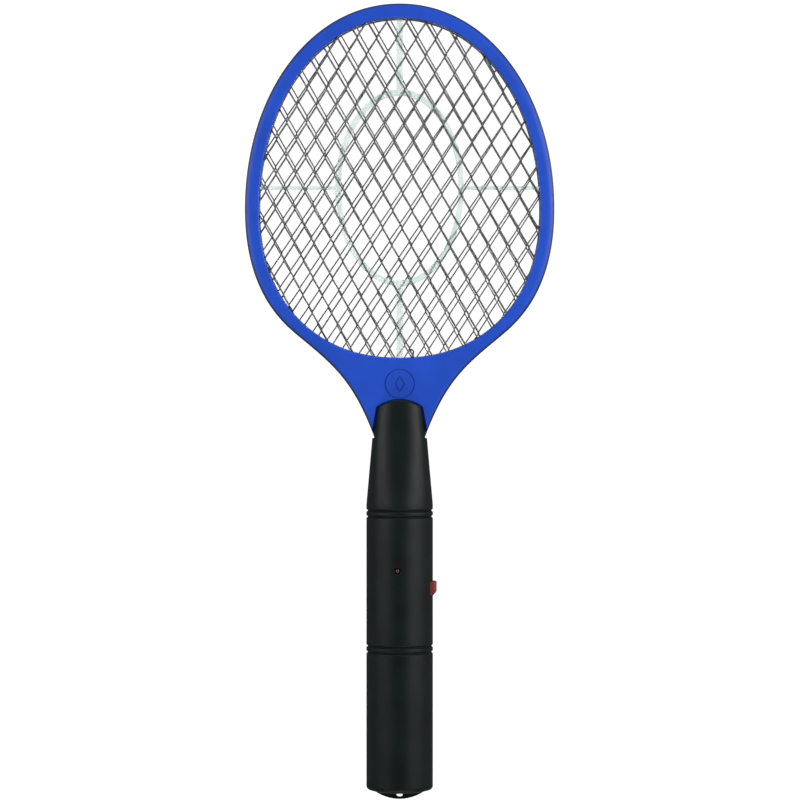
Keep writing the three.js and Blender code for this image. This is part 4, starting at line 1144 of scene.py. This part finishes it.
def fasteners():
    """A head and a plain round shank at each point, as long as the point's length attribute says."""
    tree, given, out = geometry_tree("fasteners", [
        ("Head", "Object", None), ("Shank Radius", "Float", 0.9 * MM), ("Seed", "Int", 3),
        ("Material", "Material", None)])
    source = node(tree, "GeometryNodeObjectInfo")
    source.inputs["As Instance"].default_value = True
    length = node(tree, "GeometryNodeInputNamedAttribute", {"data_type": "FLOAT"}, Name="length")
    spin = node(tree, "FunctionNodeRandomValue", {"data_type": "FLOAT"}, Min=0.0, Max=6.28)
    turn = node(tree, "ShaderNodeCombineXYZ")
    heads = node(tree, "GeometryNodeInstanceOnPoints")
    bar = node(tree, "GeometryNodeMeshCylinder", Vertices=16, Depth=1.0)
    lift = node(tree, "GeometryNodeTransform", Translation=(0, 0, 0.5))
    shanks = node(tree, "GeometryNodeInstanceOnPoints")
    size = node(tree, "ShaderNodeCombineXYZ", X=1.0, Y=1.0)
    both = node(tree, "GeometryNodeJoinGeometry")
    real = node(tree, "GeometryNodeRealizeInstances")
    coat = node(tree, "GeometryNodeSetMaterial")
    wired(tree, (given, "Head", source, "Object"), (given, "Seed", spin, "Seed"), (spin, 1, turn, "Z"),
          (given, "Geometry", heads, "Points"), (source, "Geometry", heads, "Instance"),
          (turn, "Vector", heads, "Rotation"), (given, "Shank Radius", bar, "Radius"),
          (bar, "Mesh", lift, "Geometry"), (given, "Geometry", shanks, "Points"),
          (lift, "Geometry", shanks, "Instance"), (length, "Attribute", size, "Z"),
          (size, "Vector", shanks, "Scale"), (heads, "Instances", both, "Geometry"),
          (shanks, "Instances", both, "Geometry"), (both, "Geometry", real, "Geometry"),
          (real, "Geometry", coat, "Geometry"), (given, "Material", coat, "Material"),
          (coat, "Geometry", out, "Geometry"))
    return tree


def build_screws():
    """All the screws of the head and the handle, and the one that holds the battery tray."""
    names = [*HEAD_SCREWS, *HANDLE_SCREWS, "tray_screw"]
    places, lengths = [], []
    for name in names:
        low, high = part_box(name)
        x, y, _ = centre_of(name)
        places.append((x, y, low[2] + HEAD_SCREW_HEIGHT))
        lengths.append(high[2] - low[2] - HEAD_SCREW_HEIGHT - 0.5 * MM)
    mesh = bpy.data.meshes.new("screws")
    mesh.from_pydata(places, [], [])
    values = mesh.attributes.new("length", "FLOAT", "POINT")
    values.data.foreach_set("value", lengths)
    screws = placed("screws", mesh)
    head = screw_head()
    grown(screws, fasteners(), Head=head, Material=zinc)
    bpy.data.objects.remove(head)
    dressed(screws, zinc, stands_for=names)


# ------------------------------------------------------------------ wire end and solder on the front grid
def build_wire_end():
    """The stripped end of the front lead where it comes up beside the front grid, and its solder."""
    z = centre_of("front_guard_grid").z
    points = [(6.2, -1.2, -1.6), (7.0, 0.8, -0.9), (8.0, 3.0, 0.1), (7.6, 4.7, 0.55), (6.2, 5.0, 0.5),
              (5.2, 4.3, 0.3)]
    curve = bpy.data.curves.new("wire_end_line", "CURVE")
    curve.dimensions = "3D"
    curve.bevel_depth = 0.42 * MM
    curve.bevel_resolution = 3
    curve.use_fill_caps = True
    spline = curve.splines.new("NURBS")
    spline.points.add(len(points) - 1)
    foot = OPENING_Y - LOWER_REACH
    for point, (x, y, up) in zip(spline.points, points):
        point.co = (x * MM, foot + y * MM, z + up * MM, 1)
    spline.use_endpoint_u = True
    spline.order_u = 4
    spline.resolution_u = 6
    wire = baked("front_lead_end", placed("wire_end_line", curve))
    dressed(wire, solder)
    for name, (x, y, up), size in (("solder_joint", (5.9, 4.6, 0.35), (1.05, 0.8, 0.55)),
                                   ("solder_foot", (7.0, 0.9, -0.2), (0.95, 0.75, 0.6))):
        shape = bmesh.new()
        bmesh.ops.create_icosphere(shape, subdivisions=3, radius=MM)
        place = Vector((x * MM, foot + y * MM, z + up * MM))
        for vert in shape.verts:
            wave = 1 + 0.12 * math.sin(4200 * vert.co.x) * math.cos(3700 * vert.co.y)
            vert.co = Vector(a * b * wave for a, b in zip(vert.co, size)) + place
        mesh = bpy.data.meshes.new(name)
        shape.to_mesh(mesh)
        shape.free()
        dressed(placed(name, mesh), solder)


# ------------------------------------------------------------------ battery bay
def build_cells():
    """Two dry cells: a rolled jacket, a crimped end and a positive button."""
    jacket = moulded("cell_jacket", (0.012, 0.014, 0.016), (0.02, 0.022, 0.024), 0.22, grain=700.0, relief=0.05,
                     Metallic=0.0, Coat_Weight=0.6)
    for name in ("battery_cell_left", "battery_cell_right"):
        low, high = (Vector(c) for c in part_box(name))
        radius = (high.x - low.x) / 2
        nub_up = name.endswith("left")
        length = high.y - low.y
        crimp = 0.5 * MM
        profile = [(0, 0), (radius - 1.6 * MM, 0), (radius - 1.2 * MM, crimp), (radius - 0.7 * MM, crimp),
                   (radius - 0.3 * MM, 0.1 * MM), (radius, 0.5 * MM), (radius, length - 1.7 * MM),
                   (radius - 0.4 * MM, length - 1.2 * MM), (radius - 1.4 * MM, length - 1.2 * MM),
                   (radius - 1.7 * MM, length - 1.0 * MM - 0.3 * MM), (2.8 * MM, length - 1.0 * MM),
                   (2.7 * MM, length - 0.3 * MM), (2.3 * MM, length), (0, length)]
        if not nub_up:
            profile = [(r, length - y) for r, y in profile]
        piece = turned(name.replace("battery_cell", "dry_cell"), profile,
                       ((low.x + high.x) / 2, low.y, (low.z + high.z) / 2), axis="Y", steps=56)
        dressed(piece, jacket, stands_for=[name])


def plain_finishes():
    """Materials for the nodes that keep their own solids."""
    board = moulded("lacquered_board", (0.02, 0.11, 0.035), (0.03, 0.16, 0.05), 0.3, grain=900.0, relief=0.2)
    ferrite = moulded("ferrite", (0.02, 0.02, 0.022), (0.045, 0.045, 0.05), 0.6, grain=1800.0, relief=0.5)
    film = moulded("dipped_film", (0.2, 0.03, 0.015), (0.28, 0.05, 0.02), 0.25, grain=400.0, relief=0.3)
    resin = moulded("black_resin", (0.01, 0.01, 0.011), (0.02, 0.02, 0.022), 0.5)
    tan = moulded("tan_lacquer", (0.42, 0.32, 0.18), (0.55, 0.42, 0.25), 0.3)
    white = moulded("plunger_plastic", (0.6, 0.6, 0.57), (0.7, 0.7, 0.67), 0.4)
    finishes = {
        "battery_tray": black_plastic, "flat_contact": zinc, "spring_contact": zinc, "link_contact": zinc,
        "circuit_board": board, "step_up_transformer": ferrite, "storage_capacitor": film,
        "disc_capacitor_1": film, "disc_capacitor_2": film, "rectifier_diode_1": resin,
        "rectifier_diode_2": resin, "rectifier_diode_3": resin, "lamp_resistor": tan, "bleed_resistor": tan,
        "power_transistor": resin, "switch_body": resin, "switch_plunger": white,
        "front_grid_lead": black_vinyl, "centre_grid_lead": red_vinyl, "rear_grid_lead": black_vinyl,
        "positive_cell_lead": red_vinyl, "negative_cell_lead": black_vinyl,
    }
    for name, material in finishes.items():
        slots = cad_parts[name].data.materials
        if not slots:
            slots.append(material)
        for i in range(len(slots)):
            slots[i] = material


# ------------------------------------------------------------------ floor, light and camera
FLOOR_TONE = 0.22  # how much light the floor throws back on the swatter
FLOOR_GLOW = 0.92  # its own brightness where it is seen


def build_floor():
    """A plain pale floor under the swatter, bright as a light table."""
    floor = brick("floor", (-3, -3, -0.01), (3, 3, 0))
    material = bpy.data.materials.new("pale_floor")
    material.use_nodes = True
    shader = material.node_tree.nodes["Principled BSDF"]
    shader.inputs["Base Color"].default_value = (FLOOR_TONE, FLOOR_TONE, FLOOR_TONE, 1)
    shader.inputs["Roughness"].default_value = 0.9
    shader.inputs["Specular IOR Level"].default_value = 0.1
    shader.inputs["Emission Color"].default_value = (1, 1, 1, 1)
    path = material.node_tree.nodes.new("ShaderNodeLightPath").outputs
    seen = math_node(material.node_tree, "MAXIMUM", path["Is Camera Ray"], path["Is Transmission Ray"])
    glow = math_node(material.node_tree, "MULTIPLY", seen, FLOOR_GLOW)
    material.node_tree.links.new(glow, shader.inputs["Emission Strength"])
    floor.data.materials.append(material)


def softbox(name, place, size, power, target=(0, 0, 0.02)):
    """A square area light that faces a point."""
    light = bpy.data.lights.new(name, "AREA")
    light.shape = "RECTANGLE"
    light.size, light.size_y = size
    light.energy = power
    lamp = placed(name, light)
    lamp.location = place
    lamp.rotation_euler = (Vector(target) - Vector(place)).to_track_quat("-Z", "Y").to_euler()


def build_light():
    """Two large soft lights over the sides, two low ones at the ends, and a dim surrounding."""
    softbox("left_light", (-1.5, 0.35, 0.95), (0.7, 1.7), 22, (0, 0.05, 0.02))
    softbox("right_light", (1.5, 0.35, 0.95), (0.7, 1.7), 33, (0, 0.05, 0.02))
    softbox("head_light", (0.0, 2.2, 0.9), (2.6, 0.8), 21)
    softbox("tail_light", (0.0, -2.2, 0.9), (2.6, 0.8), 30)
    world = bpy.data.worlds.new("studio")
    world.use_nodes = True
    world.node_tree.nodes["Background"].inputs["Color"].default_value = (1, 1, 1, 1)
    world.node_tree.nodes["Background"].inputs["Strength"].default_value = 0.1
    bpy.context.scene.world = world


CAMERA_HEIGHT = 1.8
CAMERA_SHIFT = (0.0002, 0.0009)
LENS_PER_METRE = 80.3


def build_camera():
    """A long lens high above the middle of the swatter, looking straight down."""
    camera = bpy.data.cameras.new("camera")
    camera.sensor_width = 36
    camera.lens = LENS_PER_METRE * CAMERA_HEIGHT
    obj = placed("camera", camera)
    obj.location = (*CAMERA_SHIFT, AXIS_Z + CAMERA_HEIGHT)
    bpy.context.scene.camera = obj
    bpy.context.scene.view_settings.view_transform = "Standard"


build_camera()
build_floor()
build_light()
build_head()
build_grids()
build_spacers()
build_handle()
build_button()
build_lamp()
build_screws()
build_wire_end()
build_cells()
plain_finishes()
